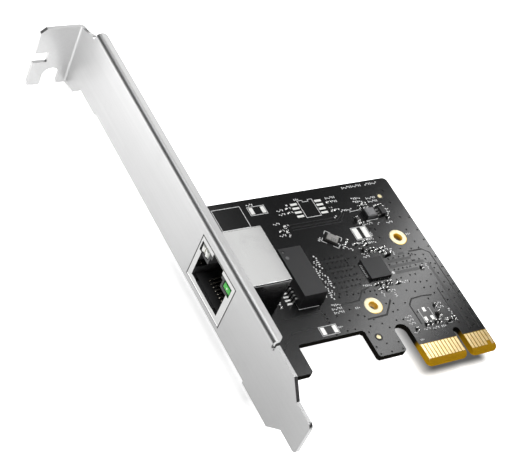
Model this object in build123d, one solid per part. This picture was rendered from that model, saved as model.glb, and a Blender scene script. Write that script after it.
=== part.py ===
from build123d import *
from math import radians, tan
import os

# Ethernet adapter card. X runs along the card edge away from the bracket, Y from the edge contacts
# up to the bracket's screw tab, Z out of the component side. The origin is on the component surface,
# at the middle of the key notch and level with the bottom of the edge contacts.

# Board outline
BOARD_THICK = 1.57
BOARD_RIGHT = 8.15
BOARD_TOP = 55.0
BOARD_CORNER = 1.3
FOOT_BOTTOM = 4.95
FOOT_RIGHT = -42.2
WAIST_BOTTOM = 12.7
HOOK_LEFT = -23.95
HOOK_RIGHT = -16.1
TAB_CORNER = 0.5
TONGUE_LEFT = -12.15
SLOT_TOP = 12.2
KEY_WIDTH = 1.9
KEY_TOP = 8.0
TONGUE_CORNER = 1.0
BEVEL_RISE = 1.3
BEVEL_DEPTH = 0.47

# Edge contacts
CONTACT_PITCH = 1.0
CONTACT_WIDTH = 0.7
CONTACT_BOTTOM = 1.5
CONTACT_TOP = 5.55
CONTACT_PLATING = 0.05
CONTACTS_LEFT_OF_KEY = 11
CONTACTS_RIGHT_OF_KEY = 7
KEY_TO_CONTACT = 1.5
SHORT_CONTACT_STEP = 1.1
SHORT_FRONT_CONTACT = 16
SHORT_BACK_CONTACT = 0

# Bracket
SHEET = 0.86
FACE_X = -58.7
FACE_FRONT_EDGE = 15.8
FACE_BACK_EDGE = -2.1
BEND_INNER = 0.5
BRACKET_TOP = 106.36
TAB_REACH = 10.8
TAB_FRONT = 12.02
TAB_WIDTH = 18.42
TAB_CORNER_CUT = 1.4
TAB_CORNER_ROUND = 1.4
SCREW_SLOT_WIDTH = 4.6
SCREW_SLOT_X = FACE_X - 4.75
SCREW_SLOT_TOP = -1.15
KEY_SLOT_LOW = 1.05
KEY_SLOT_HIGH = 4.2
KEY_SLOT_DEPTH = 3.65
NECK_FRONT = 14.05
NECK_FRONT_LOW = 100.4
EAR_STEP = 0.8
EAR_LOW = 101.8
EAR_FOOT = 97.8
FLANGE_REACH = 2.52
FLANGE_CORNER = 1.1
FRONT_FLANGE_LOW = 5.6
FRONT_FLANGE_HIGH = 98.9
BACK_FLANGE_LOW = 8.0
BACK_FLANGE_HIGH = 89.3
RELIEF_WIDTH = 1.2
SHOULDER_TOP = -3.6
SHOULDER_LOW = -7.4
TONGUE_BACK = 2.0
TONGUE_FRONT = 12.1
TONGUE_TIP = -13.7
TONGUE_TIP_ROUND = 1.3
MOUNT_EAR_WIDTH = 9.0
MOUNT_EAR_REACH = 10.5

# The board's edge stands clear of the bracket's inner bend
BOARD_TO_BEND = 0.05
BOARD_LEFT = FACE_X + SHEET + BEND_INNER + BOARD_TO_BEND

# Bracket screws
SCREW_X = FACE_X + 6.1
SCREW_YS = (12.6, 48.5)
SCREW_SHANK = 3.0
SCREW_HEAD = 5.6
SCREW_HEAD_TALL = 1.9
SCREW_TIP = 0.9
SCREW_BOARD_HOLE = 3.4
THREAD_CLEARANCE = 0.03
DRIVE_WIDTH = 0.8
DRIVE_LENGTH = 3.2
DRIVE_DEPTH = 1.0

# Network jack
JACK_Y = 29.55
JACK_WIDE = 16.0
JACK_TALL = 12.95
JACK_LONG = 14.7
JACK_BACK = FACE_X + JACK_LONG
SHIELD_SHEET = 0.25
SHIELD_ROUND = 0.35
WINDOW_CLEARANCE = 0.13
FRAME_SIDE_BAR = 0.85
FRAME_TOP_BAR = 1.25
OPENING_WIDE = 12.3
OPENING_SHIFT = 0.25
OPENING_LOW = 1.5
LAMP_ROW_WIDE = JACK_WIDE - 2 * FRAME_SIDE_BAR
LAMP_ROW_HIGH = JACK_TALL - FRAME_TOP_BAR
LAMP_ROW_TALL = 2.8
OPENING_HIGH = LAMP_ROW_HIGH - LAMP_ROW_TALL
LATCH_WIDE = 4.7
FRAME_LIP_LONG = 1.9
FRAME_LIP_DEEP = 0.8
FRAME_LIP_INSET = 0.2
SEAM_Y = JACK_Y + 5.5
SEAM_GAP = 0.3
LEG_X = FACE_X + 8.1
LEG_WIDE = 1.5
LEG_DROP = 3.1
LEG_SLOT_CLEARANCE = 0.15
GROUND_SPRING_LOW = 4.1
GROUND_SPRING_HIGH = 6.2
GROUND_SPRING_LONG = 5.6
GROUND_SPRING_BEND = 1.1
GROUND_SPRING_PROUD = 0.12
GROUND_SPRING_ROOM = 0.3

# Jack housing
HOUSING_GAP = 0.05
HOUSING_BACK = JACK_BACK - 1.8
CAVITY_WIDE = 12.1
CAVITY_HIGH = OPENING_HIGH - 0.7
CAVITY_BACK = FACE_X + 11.8
LATCH_SHELF_WIDE = 6.2
LATCH_SHELF_HIGH = CAVITY_HIGH + 2.1
LATCH_SHELF_BACK = FACE_X + 8.2
LATCH_TOP_BACK = FACE_X + 5.2
PEG_X = FACE_X + 4.4
PEG_SPACING = 11.43
PEG_ROUND = 3.1
PEG_DROP = 2.6
PEG_CLEARANCE = 0.08

# Spring contacts
SPRING_COUNT = 8
SPRING_PITCH = 1.016
SPRING_WIDE = 0.4
SPRING_THICK = 0.28
SPRING_SLOT_CLEARANCE = 0.12
SPRING_FLOOR = 0.62
SPRING_NOSE_X = FACE_X + 3.3
SPRING_NOSE_TALL = 0.95
SPRING_END_X = FACE_X + 11.3
SPRING_END_Z = 3.55
TAIL_ROW_X = (FACE_X + 12.35, FACE_X + 9.8)
TAIL_DROP = 3.1
TAIL_HOLE = 0.9
TAIL_HOLE_SIDES = 6
SOLDER_ROUND = 1.7
SOLDER_TALL = 0.8
SOLDER_TIP = 0.8

# Indicator lamps
LAMP_WIDE = 3.3
LAMP_TALL = 2.1
LAMP_SIDE_GAP = 0.1
LAMP_TOP_GAP = 0.55
LAMP_SPREAD = LAMP_ROW_WIDE - LAMP_WIDE - 2 * LAMP_SIDE_GAP
LAMP_Z = LAMP_ROW_HIGH - LAMP_TOP_GAP - LAMP_TALL / 2
LAMP_BACK = FACE_X + 4.1
LAMP_FRONT_ROUND = 0.45
LAMP_POCKET_GAP = 0.06
LOBE_ROUND = 1.3
LOBE_TALL = 1.5
LOBE_REACH = 0.2
LAMP_LEAD = 0.45
LAMP_LEAD_SPACING = 1.9
LAMP_LEAD_BACK = JACK_BACK - 1.1

# Isolation transformer
JACK_TO_TRANSFORMER = 10.45
TRANSFORMER_X = JACK_BACK + JACK_TO_TRANSFORMER
TRANSFORMER_Y = 29.15
TRANSFORMER_LONG = 14.5
TRANSFORMER_WIDE = 6.9
TRANSFORMER_TOP = 4.35
TRANSFORMER_STANDOFF = 0.3
TRANSFORMER_DRAFT = 4.0
PIN_MARK_ROUND = 1.0
PIN_MARK_FROM_SIDE = 1.2
PIN_MARK_FROM_END = 1.4
PIN_MARK_DEPTH = 0.15
LEADS_PER_SIDE = 12
LEAD_PITCH = 1.0
LEAD_WIDE = 0.45
LEAD_THICK = 0.2
LEAD_SHOULDER_Z = 1.9
LEAD_SHOULDER = 0.65
LEAD_REACH = 1.75

# Network controller
CONTROLLER_X = -11.25
CONTROLLER_Y = 28.35
CONTROLLER_SIDE = 6.0
CONTROLLER_TALL = 0.85
TERMINAL_COUNT = 10
TERMINAL_PITCH = 0.5
TERMINAL_WIDE = 0.2
TERMINAL_PROUD = 0.12
TERMINAL_TALL = 0.2

# Crystal
CRYSTAL_X = -17.7
CRYSTAL_Y = 39.1
CRYSTAL_TURN = -42.0
CRYSTAL_LONG = 3.2
CRYSTAL_WIDE = 2.5
CRYSTAL_BASE_TALL = 0.45
CRYSTAL_LID_TALL = 0.25
CRYSTAL_RIM = 0.2

# Power converter
INDUCTOR_X = -3.3
INDUCTOR_Y = 44.4
INDUCTOR_LONG = 3.1
INDUCTOR_WIDE = 2.7
INDUCTOR_TALL = 1.4
INDUCTOR_CHAMFER = 0.3
INDUCTOR_TERMINAL = 0.25
REGULATOR_X = 0.6
REGULATOR_Y = 44.5
REGULATOR_LONG = 2.3
REGULATOR_WIDE = 1.6
REGULATOR_TALL = 1.0
REGULATOR_LEAD_PITCH = 0.75
REGULATOR_LEAD_WIDE = 0.35

# Plated holes, marks and bare pads
COPPER = 0.05
HEATSINK_HOLES = ((0.6, 36.2), (-17.6, 18.6))
HEATSINK_HOLE = 2.3
HEATSINK_RING = 4.7
RING_SIDES = 16
FIDUCIALS = ((3.0, 49.4), (-21.2, 10.1))
FIDUCIAL_ROUND = 1.1
MEMORY_X = -18.55
MEMORY_Y = 49.3
MEMORY_ROW_SPACING = 7.1
MEMORY_PIN_PITCH = 1.27
MEMORY_PINS = 4
MEMORY_PAD = (1.9, 0.65)
COIL_PADS_X = (-10.0, -7.45)
COIL_PADS_Y = 39.45
COIL_PAD = (1.45, 3.3)
FUSES = ((-32.45, 51.3), (-32.45, 14.75))
FUSE_PAD_SPACING = 3.2
FUSE_PAD = (1.05, 2.0)
TRANSISTOR_X = -5.1
TRANSISTOR_Y = 13.3
TRANSISTOR_PAD = (0.8, 1.2)
TRANSISTOR_PAD_DROP = 1.3
TRANSISTOR_PAD_SPREAD = 0.95

# Small chip parts: place of the middle, and the turn of the long side from X
CHIP_LONG = 1.0
CHIP_WIDE = 0.55
CHIP_TALL = 0.5
CHIP_END = 0.25
BIG_CHIP_LONG = 1.6
BIG_CHIP_WIDE = 0.85
RESISTOR_TALL = 0.35
CAPACITOR_PLACES = (
    (1.35, 42.6, 90), (-6.9, 42.2, 0), (-3.05, 47.95, 0), (-4.9, 46.9, 90), (-3.7, 46.9, 90),
    (-2.7, 46.9, 90), (0.15, 46.7, 0), (1.5, 46.4, 90), (-12.3, 36.45, 0), (-9.2, 36.9, 0),
    (-9.2, 35.9, 0), (-9.3, 33.9, 90), (-8.3, 33.9, 90), (-7.0, 33.8, 0), (-5.45, 34.0, 0),
    (-13.4, 24.1, 0), (-12.0, 23.7, 90), (-10.3, 23.8, 90), (-9.35, 23.8, 90), (-12.9, 22.6, 0),
    (-11.3, 22.1, 90), (-7.4, 23.3, 0), (1.7, 26.2, 90), (-1.5, 15.0, 90), (-6.8, 10.4, 90),
    (-3.9, 10.5, 90), (-10.1, 9.6, 90), (1.6, 10.4, 90), (-15.6, 36.4, 48), (-14.2, 37.7, 48),
)
BIG_CAPACITOR_PLACES = (
    (-7.7, 43.3, 90), (-10.85, 34.4, 90), (-5.5, 31.9, 0), (-2.05, 12.3, 90), (-0.3, 10.3, 0),
)
JACK_RESISTOR_X = JACK_BACK + 3.1
RESISTOR_PLACES = (
    (-24.25, 50.3, 0), (-24.3, 48.95, 0), (-12.2, 50.25, 0), (-12.8, 47.9, 90), (-11.4, 47.5, 0),
    (-27.5, 45.3, 0), (-28.1, 44.1, 90), (-28.05, 42.7, 90), (-29.4, 44.0, 0), (-5.4, 10.4, 90),
    (-2.7, 10.5, 90), (-6.4, 33.0, 0), (JACK_RESISTOR_X, 25.2, 90), (JACK_RESISTOR_X, 23.6, 90),
)


def block(x0, x1, y0, y1, z0, z1):
    """A box between two corners."""
    return Pos((x0 + x1) / 2, (y0 + y1) / 2, (z0 + z1) / 2) * Box(x1 - x0, y1 - y0, z1 - z0)


def peg(x, y, round_size, z0, z1):
    """An upright round bar or hole cutter of the diameter round_size."""
    return Pos(x, y, (z0 + z1) / 2) * Cylinder(round_size / 2, z1 - z0)


def group(solids):
    return Compound(children=list(solids))


def plate_yz(face_yz, x0, thickness):
    """A plate whose outline is drawn in Y and Z, from x0 towards +X."""
    return extrude(Plane(origin=(x0, 0, 0), x_dir=(0, 1, 0), z_dir=(1, 0, 0)) * face_yz, thickness)


def round_corners(outline, corners, radius):
    """The face with the vertices nearest to the listed points rounded."""
    return fillet(nearest_corners(outline, corners), radius)


def cut_corners(outline, corners, length):
    """The face with the vertices nearest to the listed points cut off at 45 degrees."""
    return chamfer(nearest_corners(outline, corners), length)


def nearest_corners(outline, corners):
    return [outline.vertices().sort_by_distance(Vector(*point))[0] for point in corners]


# Board

def board_outline():
    key_half = KEY_WIDTH / 2
    slot_half = (TONGUE_LEFT - HOOK_RIGHT) / 2
    slot_middle = (TONGUE_LEFT + HOOK_RIGHT) / 2
    face = Pos((BOARD_LEFT + BOARD_RIGHT) / 2, BOARD_TOP / 2) * Rectangle(BOARD_RIGHT - BOARD_LEFT, BOARD_TOP)
    gap_high = SLOT_TOP - slot_half
    key_high = KEY_TOP - key_half
    cuts = [
        rectangle_between(BOARD_LEFT, HOOK_RIGHT, 0, FOOT_BOTTOM),
        rectangle_between(FOOT_RIGHT, HOOK_LEFT, 0, WAIST_BOTTOM),
        rectangle_between(HOOK_RIGHT, TONGUE_LEFT, 0, gap_high),
        Pos(slot_middle, gap_high) * Circle(slot_half),
        rectangle_between(-key_half, key_half, 0, key_high),
        Pos(0, key_high) * Circle(key_half),
    ]
    for cut in cuts:
        face -= cut
    tongue_ends = [(TONGUE_LEFT, 0), (-key_half, 0), (key_half, 0), (BOARD_RIGHT, 0)]
    face = round_corners(face, tongue_ends, TONGUE_CORNER)
    face = round_corners(face, [(BOARD_RIGHT, BOARD_TOP), (BOARD_LEFT, BOARD_TOP)], BOARD_CORNER)
    tab_ends = [(FOOT_RIGHT, FOOT_BOTTOM), (HOOK_LEFT, FOOT_BOTTOM), (HOOK_RIGHT, FOOT_BOTTOM)]
    waist_ends = [(FOOT_RIGHT, WAIST_BOTTOM), (HOOK_LEFT, WAIST_BOTTOM)]
    return cut_corners(face, tab_ends + waist_ends, TAB_CORNER)


def rectangle_between(x0, x1, y0, y1):
    return Pos((x0 + x1) / 2, (y0 + y1) / 2) * Rectangle(x1 - x0, y1 - y0)


def bevel_cutter(surface, inward):
    """The wedge that thins the contact edge, cut from the given surface towards inward."""
    run = BEVEL_RISE
    depth = inward * BEVEL_DEPTH
    low, high = surface + depth, surface
    profile = Polyline((0, low), (run, high), (-run, high), (-run, low), close=True)
    wedge = Plane(origin=(TONGUE_LEFT - 1, 0, 0), x_dir=(0, 1, 0), z_dir=(1, 0, 0)) * make_face(profile)
    return extrude(wedge, BOARD_RIGHT - TONGUE_LEFT + 2)


def circuit_board():
    board = extrude(board_outline(), -BOARD_THICK)
    board -= bevel_cutter(0, -1)
    board -= bevel_cutter(-BOARD_THICK, 1)
    below = -BOARD_THICK - 1
    for x, y in HEATSINK_HOLES:
        board -= peg(x, y, HEATSINK_HOLE, below, 1)
    for y in SCREW_YS:
        board -= peg(SCREW_X, y, SCREW_BOARD_HOLE, below, 1)
    for side in (-1, 1):
        board -= peg(PEG_X, JACK_Y + side * PEG_SPACING / 2, PEG_ROUND + 2 * PEG_CLEARANCE, below, 1)
        board -= leg_cutter(side, LEG_SLOT_CLEARANCE, below, 1)
    for x, y in tail_places() + lamp_lead_places():
        board -= Pos(x, y, below) * extrude(RegularPolygon(TAIL_HOLE / 2, TAIL_HOLE_SIDES), 1 - below)
    return board


def edge_contacts(surface, outward, short_one):
    """The gold contacts on one surface, with one contact starting higher than the rest."""
    left = [-KEY_TO_CONTACT - CONTACT_PITCH * i for i in reversed(range(CONTACTS_LEFT_OF_KEY))]
    right = [KEY_TO_CONTACT + CONTACT_PITCH * i for i in range(CONTACTS_RIGHT_OF_KEY)]
    z0, z1 = sorted((surface, surface + outward * CONTACT_PLATING))
    contacts = []
    for i, x in enumerate(left + right):
        low = CONTACT_BOTTOM + (SHORT_CONTACT_STEP if i == short_one else 0)
        contacts.append(block(x - CONTACT_WIDTH / 2, x + CONTACT_WIDTH / 2, low, CONTACT_TOP, z0, z1))
    return group(contacts)


# Bracket

def bracket_face_outline():
    """The face in Y and Z, from the tongue's tip up to the fold of the screw tab."""
    fold = BRACKET_TOP - SHEET - BEND_INNER
    tab_back = TAB_FRONT - TAB_WIDTH
    arc_end = (fold, TAB_FRONT)
    arc_start = (NECK_FRONT_LOW, NECK_FRONT)
    ear_back = tab_back + EAR_STEP
    ear_foot = EAR_LOW - EAR_STEP
    with BuildSketch() as sketch:
        with BuildLine():
            Line((TONGUE_TIP, TONGUE_BACK), (SHOULDER_LOW, TONGUE_BACK))
            Line((SHOULDER_LOW, TONGUE_BACK), (SHOULDER_TOP, FACE_BACK_EDGE))
            Line((SHOULDER_TOP, FACE_BACK_EDGE), (EAR_FOOT, FACE_BACK_EDGE))
            Line((EAR_FOOT, FACE_BACK_EDGE), (ear_foot, ear_back))
            Line((ear_foot, ear_back), (EAR_LOW, ear_back))
            Line((EAR_LOW, ear_back), (fold, tab_back))
            Line((fold, tab_back), arc_end)
            RadiusArc(arc_end, arc_start, 2 * (fold - NECK_FRONT_LOW))
            Line(arc_start, (FRONT_FLANGE_HIGH, NECK_FRONT))
            Line((FRONT_FLANGE_HIGH, NECK_FRONT), (FRONT_FLANGE_HIGH, FACE_FRONT_EDGE))
            Line((FRONT_FLANGE_HIGH, FACE_FRONT_EDGE), (SHOULDER_TOP, FACE_FRONT_EDGE))
            Line((SHOULDER_TOP, FACE_FRONT_EDGE), (SHOULDER_LOW, TONGUE_FRONT))
            Line((SHOULDER_LOW, TONGUE_FRONT), (TONGUE_TIP, TONGUE_FRONT))
            Line((TONGUE_TIP, TONGUE_FRONT), (TONGUE_TIP, TONGUE_BACK))
        make_face()
    face = sketch.sketch
    tip = [(TONGUE_TIP, TONGUE_BACK), (TONGUE_TIP, TONGUE_FRONT)]
    face = round_corners(face, tip, TONGUE_TIP_ROUND)
    return round_corners(face, [(ear_foot, ear_back)], TAB_CORNER)


def relief_cutter(y, z):
    """A small round-ended notch where the front bend stops, open to the front edge."""
    half = RELIEF_WIDTH / 2
    notch = Pos(y, z) * Circle(half)
    notch += rectangle_between(y - half, y + half, z, FACE_FRONT_EDGE + SHEET)
    return plate_yz(notch, FACE_X - SHEET, 3 * SHEET)


def flange_profile(edge, towards_face):
    """The bent section in X and Z: it leaves the face, turns and runs towards +X."""
    inner = BEND_INNER
    outer = BEND_INNER + SHEET
    step = towards_face
    turn_x = FACE_X + SHEET + inner
    turn_z = edge + step * outer
    with BuildSketch(Plane.XZ) as sketch:
        with BuildLine():
            Line((FACE_X, turn_z), (FACE_X + SHEET, turn_z))
            RadiusArc((FACE_X + SHEET, turn_z), (turn_x, edge + step * SHEET), -step * inner)
            Line((turn_x, edge + step * SHEET), (turn_x, edge))
            RadiusArc((turn_x, edge), (FACE_X, turn_z), step * outer)
        make_face()
    return sketch.sketch


def flange(edge, towards_face, low, high, reach):
    """A flange along the face's edge, with its bend and rounded far corners."""
    bend = Pos(0, high, 0) * extrude(flange_profile(edge, towards_face), high - low)
    turn_x = FACE_X + SHEET + BEND_INNER
    z0, z1 = sorted((edge, edge + towards_face * SHEET))
    strip = rectangle_between(turn_x, FACE_X + reach, low, high)
    strip = round_corners(strip, [(FACE_X + reach, low), (FACE_X + reach, high)], FLANGE_CORNER)
    return bend + Pos(0, 0, z0) * extrude(strip, z1 - z0)


def mounting_ear(screw_y):
    """The ear under the board that takes one bracket screw."""
    under = -BOARD_THICK
    start = FACE_X + SHEET + BEND_INNER
    half = MOUNT_EAR_WIDTH / 2
    ear = rectangle_between(start, FACE_X + MOUNT_EAR_REACH, screw_y - half, screw_y + half)
    ends = [(FACE_X + MOUNT_EAR_REACH, screw_y - half), (FACE_X + MOUNT_EAR_REACH, screw_y + half)]
    ear = cut_corners(ear, ends, FLANGE_CORNER)
    ear -= Pos(SCREW_X, screw_y) * Circle(SCREW_SHANK / 2 + THREAD_CLEARANCE)
    return Pos(0, 0, under) * extrude(ear, -SHEET)


def screw_tab():
    """The tab folded outward at the top, with its screw slot and key slot."""
    far = FACE_X + SHEET - TAB_REACH - BEND_INNER
    tab_back = TAB_FRONT - TAB_WIDTH
    near = FACE_X - BEND_INNER
    outline = rectangle_between(far, near, tab_back, TAB_FRONT)
    outline = cut_corners(outline, [(far, TAB_FRONT)], TAB_CORNER_CUT)
    outline = round_corners(outline, [(far, tab_back)], TAB_CORNER_ROUND)
    slot_half = SCREW_SLOT_WIDTH / 2
    slot_centre = SCREW_SLOT_TOP - slot_half
    outline -= Pos(SCREW_SLOT_X, slot_centre) * Circle(slot_half)
    slot_near, slot_far = SCREW_SLOT_X - slot_half, SCREW_SLOT_X + slot_half
    outline -= rectangle_between(slot_near, slot_far, tab_back - 1, slot_centre)
    outline -= rectangle_between(far - 1, far + KEY_SLOT_DEPTH, KEY_SLOT_LOW, KEY_SLOT_HIGH)
    lips = [(slot_near, tab_back), (slot_far, tab_back)]
    outline = round_corners(outline, lips, TAB_CORNER)
    drawing = Plane(origin=(0, BRACKET_TOP, 0), x_dir=(1, 0, 0), z_dir=(0, -1, 0))
    return extrude(drawing * outline, SHEET)


def tab_bend():
    """The bend between the face and the screw tab, in X and Y."""
    inner = BEND_INNER
    outer = BEND_INNER + SHEET
    fold = BRACKET_TOP - outer
    with BuildSketch() as sketch:
        with BuildLine():
            Line((FACE_X, fold), (FACE_X + SHEET, fold))
            RadiusArc((FACE_X + SHEET, fold), (FACE_X - inner, BRACKET_TOP), -outer)
            Line((FACE_X - inner, BRACKET_TOP), (FACE_X - inner, BRACKET_TOP - SHEET))
            RadiusArc((FACE_X - inner, BRACKET_TOP - SHEET), (FACE_X, fold), inner)
        make_face()
    return Pos(0, 0, TAB_FRONT - TAB_WIDTH) * extrude(sketch.sketch, TAB_WIDTH)


def jack_window():
    half = JACK_WIDE / 2 + WINDOW_CLEARANCE
    low = -WINDOW_CLEARANCE
    high = JACK_TALL + WINDOW_CLEARANCE
    return block(FACE_X - 1, FACE_X + SHEET + 1, JACK_Y - half, JACK_Y + half, low, high)


def bracket():
    outer = BEND_INNER + SHEET
    under = -BOARD_THICK - SHEET
    face = plate_yz(bracket_face_outline(), FACE_X, SHEET)
    x0, x1 = FACE_X - SHEET, FACE_X + 2 * SHEET
    front_bend = FACE_FRONT_EDGE - outer
    back_bend = under + outer
    face -= block(x0, x1, FRONT_FLANGE_LOW, FRONT_FLANGE_HIGH, front_bend, FACE_FRONT_EDGE + SHEET)
    face -= block(x0, x1, BACK_FLANGE_LOW, BACK_FLANGE_HIGH, under - SHEET, back_bend)
    face -= jack_window()
    part = face + flange(FACE_FRONT_EDGE, -1, FRONT_FLANGE_LOW, FRONT_FLANGE_HIGH, FLANGE_REACH)
    part += flange(under, 1, BACK_FLANGE_LOW, BACK_FLANGE_HIGH, FLANGE_REACH)
    for y in SCREW_YS:
        part += mounting_ear(y)
    part += tab_bend()
    part += screw_tab()
    part -= relief_cutter(FRONT_FLANGE_LOW - RELIEF_WIDTH / 2, front_bend)
    part -= relief_cutter(FRONT_FLANGE_HIGH + RELIEF_WIDTH / 2, NECK_FRONT)
    return part


def bracket_screws():
    """Pan-head screws with a cross recess, driven from the component side into the ears."""
    tip = -BOARD_THICK - SHEET - SCREW_TIP
    screws = []
    for y in SCREW_YS:
        head = Pos(SCREW_X, y, SCREW_HEAD_TALL / 2) * Cylinder(SCREW_HEAD / 2, SCREW_HEAD_TALL)
        screw = head + peg(SCREW_X, y, SCREW_SHANK, tip, 0)
        for long_x, long_y in ((DRIVE_LENGTH, DRIVE_WIDTH), (DRIVE_WIDTH, DRIVE_LENGTH)):
            arm = block(-long_x / 2, long_x / 2, -long_y / 2, long_y / 2, -DRIVE_DEPTH, 1)
            screw -= Pos(SCREW_X, y, SCREW_HEAD_TALL) * arm
        screws.append(screw)
    return group(screws)


# Network jack

def jack_opening_outline():
    """The opening of the front frame in Y and Z: plug, lamp row and latch."""
    middle = JACK_Y + OPENING_SHIFT
    plug_half = OPENING_WIDE / 2
    outline = rectangle_between(middle - plug_half, middle + plug_half, OPENING_LOW, OPENING_HIGH)
    lamp_half = LAMP_ROW_WIDE / 2
    outline += rectangle_between(middle - lamp_half, middle + lamp_half, OPENING_HIGH, LAMP_ROW_HIGH)
    latch_half = LATCH_WIDE / 2
    latch_top = JACK_TALL - SHIELD_SHEET
    return outline + rectangle_between(middle - latch_half, middle + latch_half, LAMP_ROW_HIGH, latch_top)


def leg_cutter(side, clearance, z0, z1):
    """One board leg of the shield, or its slot when a clearance is given."""
    outer = JACK_Y + side * (JACK_WIDE / 2 + clearance)
    inner = JACK_Y + side * (JACK_WIDE / 2 - SHIELD_SHEET - clearance)
    y0, y1 = sorted((outer, inner))
    half = LEG_WIDE / 2 + clearance
    return block(LEG_X - half, LEG_X + half, y0, y1, z0, z1)


def jack_shield():
    """The folded shell: front frame, top, sides and back, open towards the board."""
    half = JACK_WIDE / 2
    sheet = SHIELD_SHEET
    shell = block(FACE_X, JACK_BACK, JACK_Y - half, JACK_Y + half, 0, JACK_TALL)
    upright = shell.edges().filter_by(Axis.Z).group_by(Axis.X)[-1]
    crown = shell.edges().group_by(Axis.Z)[-1].filter_by(Axis.X)
    shell = fillet(upright + crown, SHIELD_ROUND)
    shell -= block(FACE_X + sheet, JACK_BACK - sheet, JACK_Y - half + sheet, JACK_Y + half - sheet, -1,
                   JACK_TALL - sheet)
    shell -= plate_yz(jack_opening_outline(), FACE_X - 1, sheet + 2)
    shell -= block(JACK_BACK - 2 * sheet, JACK_BACK + 1, SEAM_Y - SEAM_GAP / 2, SEAM_Y + SEAM_GAP / 2, 1,
                   JACK_TALL - SHIELD_ROUND)
    for side in (-1, 1):
        shell += leg_cutter(side, 0, -LEG_DROP, sheet)
        shell += ground_spring(side)
        shell += frame_lip(side)
    return shell


def frame_lip(side):
    """A short lip of the front frame, bent back over the housing's floor beside one corner."""
    corner = JACK_Y + OPENING_SHIFT + side * (OPENING_WIDE / 2 - FRAME_LIP_INSET)
    y0, y1 = sorted((corner, corner - side * FRAME_LIP_LONG))
    x1 = FACE_X + FRAME_LIP_DEEP
    return block(FACE_X, x1, y0, y1, OPENING_LOW - SHIELD_SHEET / 2, OPENING_LOW + SHIELD_SHEET / 2)


def ground_spring(side):
    """A contact tongue bent in from the frame's side bar, along the plug cavity's wall."""
    wall = OPENING_SHIFT + side * CAVITY_WIDE / 2
    bar = OPENING_SHIFT + side * (OPENING_WIDE / 2 + SHIELD_SHEET)
    inner = wall - side * GROUND_SPRING_PROUD
    outer = inner + side * SHIELD_SHEET
    bend_x = FACE_X + GROUND_SPRING_BEND
    tip_x = FACE_X + GROUND_SPRING_LONG
    points = (
        (FACE_X, JACK_Y + bar), (bend_x, JACK_Y + outer), (tip_x, JACK_Y + outer),
        (tip_x, JACK_Y + inner), (bend_x, JACK_Y + inner), (FACE_X, JACK_Y + bar - side * SHIELD_SHEET),
    )
    tongue = Pos(0, 0, GROUND_SPRING_LOW) * make_face(Polyline(*points, close=True))
    return extrude(tongue, GROUND_SPRING_HIGH - GROUND_SPRING_LOW, dir=(0, 0, 1))


def spring_ys():
    first = JACK_Y - SPRING_PITCH * (SPRING_COUNT - 1) / 2
    return [first + SPRING_PITCH * i for i in range(SPRING_COUNT)]


def tail_places():
    """Where the spring tails pass the board, in two staggered rows."""
    return [(TAIL_ROW_X[i % 2], y) for i, y in enumerate(spring_ys())]


def lamp_middles():
    middle = JACK_Y + OPENING_SHIFT
    return (middle + LAMP_SPREAD / 2, middle - LAMP_SPREAD / 2)


def lamp_lead_places():
    places = []
    for middle in lamp_middles():
        for side in (-1, 1):
            places.append((LAMP_LEAD_BACK, middle + side * LAMP_LEAD_SPACING / 2))
    return places


def jack_housing():
    """The moulded insulator inside the shield."""
    gap = HOUSING_GAP
    front = FACE_X + SHIELD_SHEET + gap
    side = JACK_WIDE / 2 - SHIELD_SHEET - gap
    top = JACK_TALL - SHIELD_SHEET - gap
    middle = JACK_Y + OPENING_SHIFT
    body = block(front, HOUSING_BACK, JACK_Y - side, JACK_Y + side, 0, top)
    cavity = CAVITY_WIDE / 2
    body -= block(front - 1, CAVITY_BACK, middle - cavity, middle + cavity, OPENING_LOW, CAVITY_HIGH)
    shelf = LATCH_SHELF_WIDE / 2
    body -= block(front - 1, LATCH_SHELF_BACK, middle - shelf, middle + shelf, OPENING_LOW, LATCH_SHELF_HIGH)
    latch = LATCH_WIDE / 2
    body -= block(front - 1, LATCH_TOP_BACK, middle - latch, middle + latch, LATCH_SHELF_HIGH, top + 1)
    for lamp in lamp_middles():
        body -= lamp_pocket(lamp, front)
    room = GROUND_SPRING_ROOM
    pocket = CAVITY_WIDE / 2 + SHIELD_SHEET + room
    body -= block(front - 1, FACE_X + GROUND_SPRING_LONG + room, middle - pocket, middle + pocket,
                  GROUND_SPRING_LOW - room, GROUND_SPRING_HIGH + room)
    lip_room = FACE_X + FRAME_LIP_DEEP + gap
    body -= block(front - 1, lip_room, middle - cavity, middle + cavity, OPENING_LOW - room, OPENING_LOW)
    slot = SPRING_WIDE / 2 + SPRING_SLOT_CLEARANCE
    nose = SPRING_NOSE_X - SPRING_THICK - SPRING_SLOT_CLEARANCE
    for y in spring_ys():
        body -= block(nose, CAVITY_BACK + 1, y - slot, y + slot, -1, OPENING_LOW + 1)
    for sign in (-1, 1):
        body += peg(PEG_X, JACK_Y + sign * PEG_SPACING / 2, PEG_ROUND, -PEG_DROP, 0)
    return body


def lamp_pocket(middle, front):
    """The pocket of one lamp, and the channel its leads run back through."""
    wide = LAMP_WIDE / 2 + LAMP_POCKET_GAP
    tall = LAMP_TALL / 2 + LAMP_POCKET_GAP
    back = LAMP_BACK + LAMP_POCKET_GAP
    pocket = block(front - 1, back, middle - wide, middle + wide, LAMP_Z - tall, LAMP_Z + tall)
    channel_half = (LAMP_LEAD_SPACING + LAMP_LEAD) / 2 + LAMP_POCKET_GAP
    channel_tall = LAMP_LEAD / 2 + LAMP_POCKET_GAP
    channel = block(LAMP_BACK, HOUSING_BACK + 1, middle - channel_half, middle + channel_half,
                    LAMP_Z - channel_tall, LAMP_Z + channel_tall)
    return pocket + channel


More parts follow.
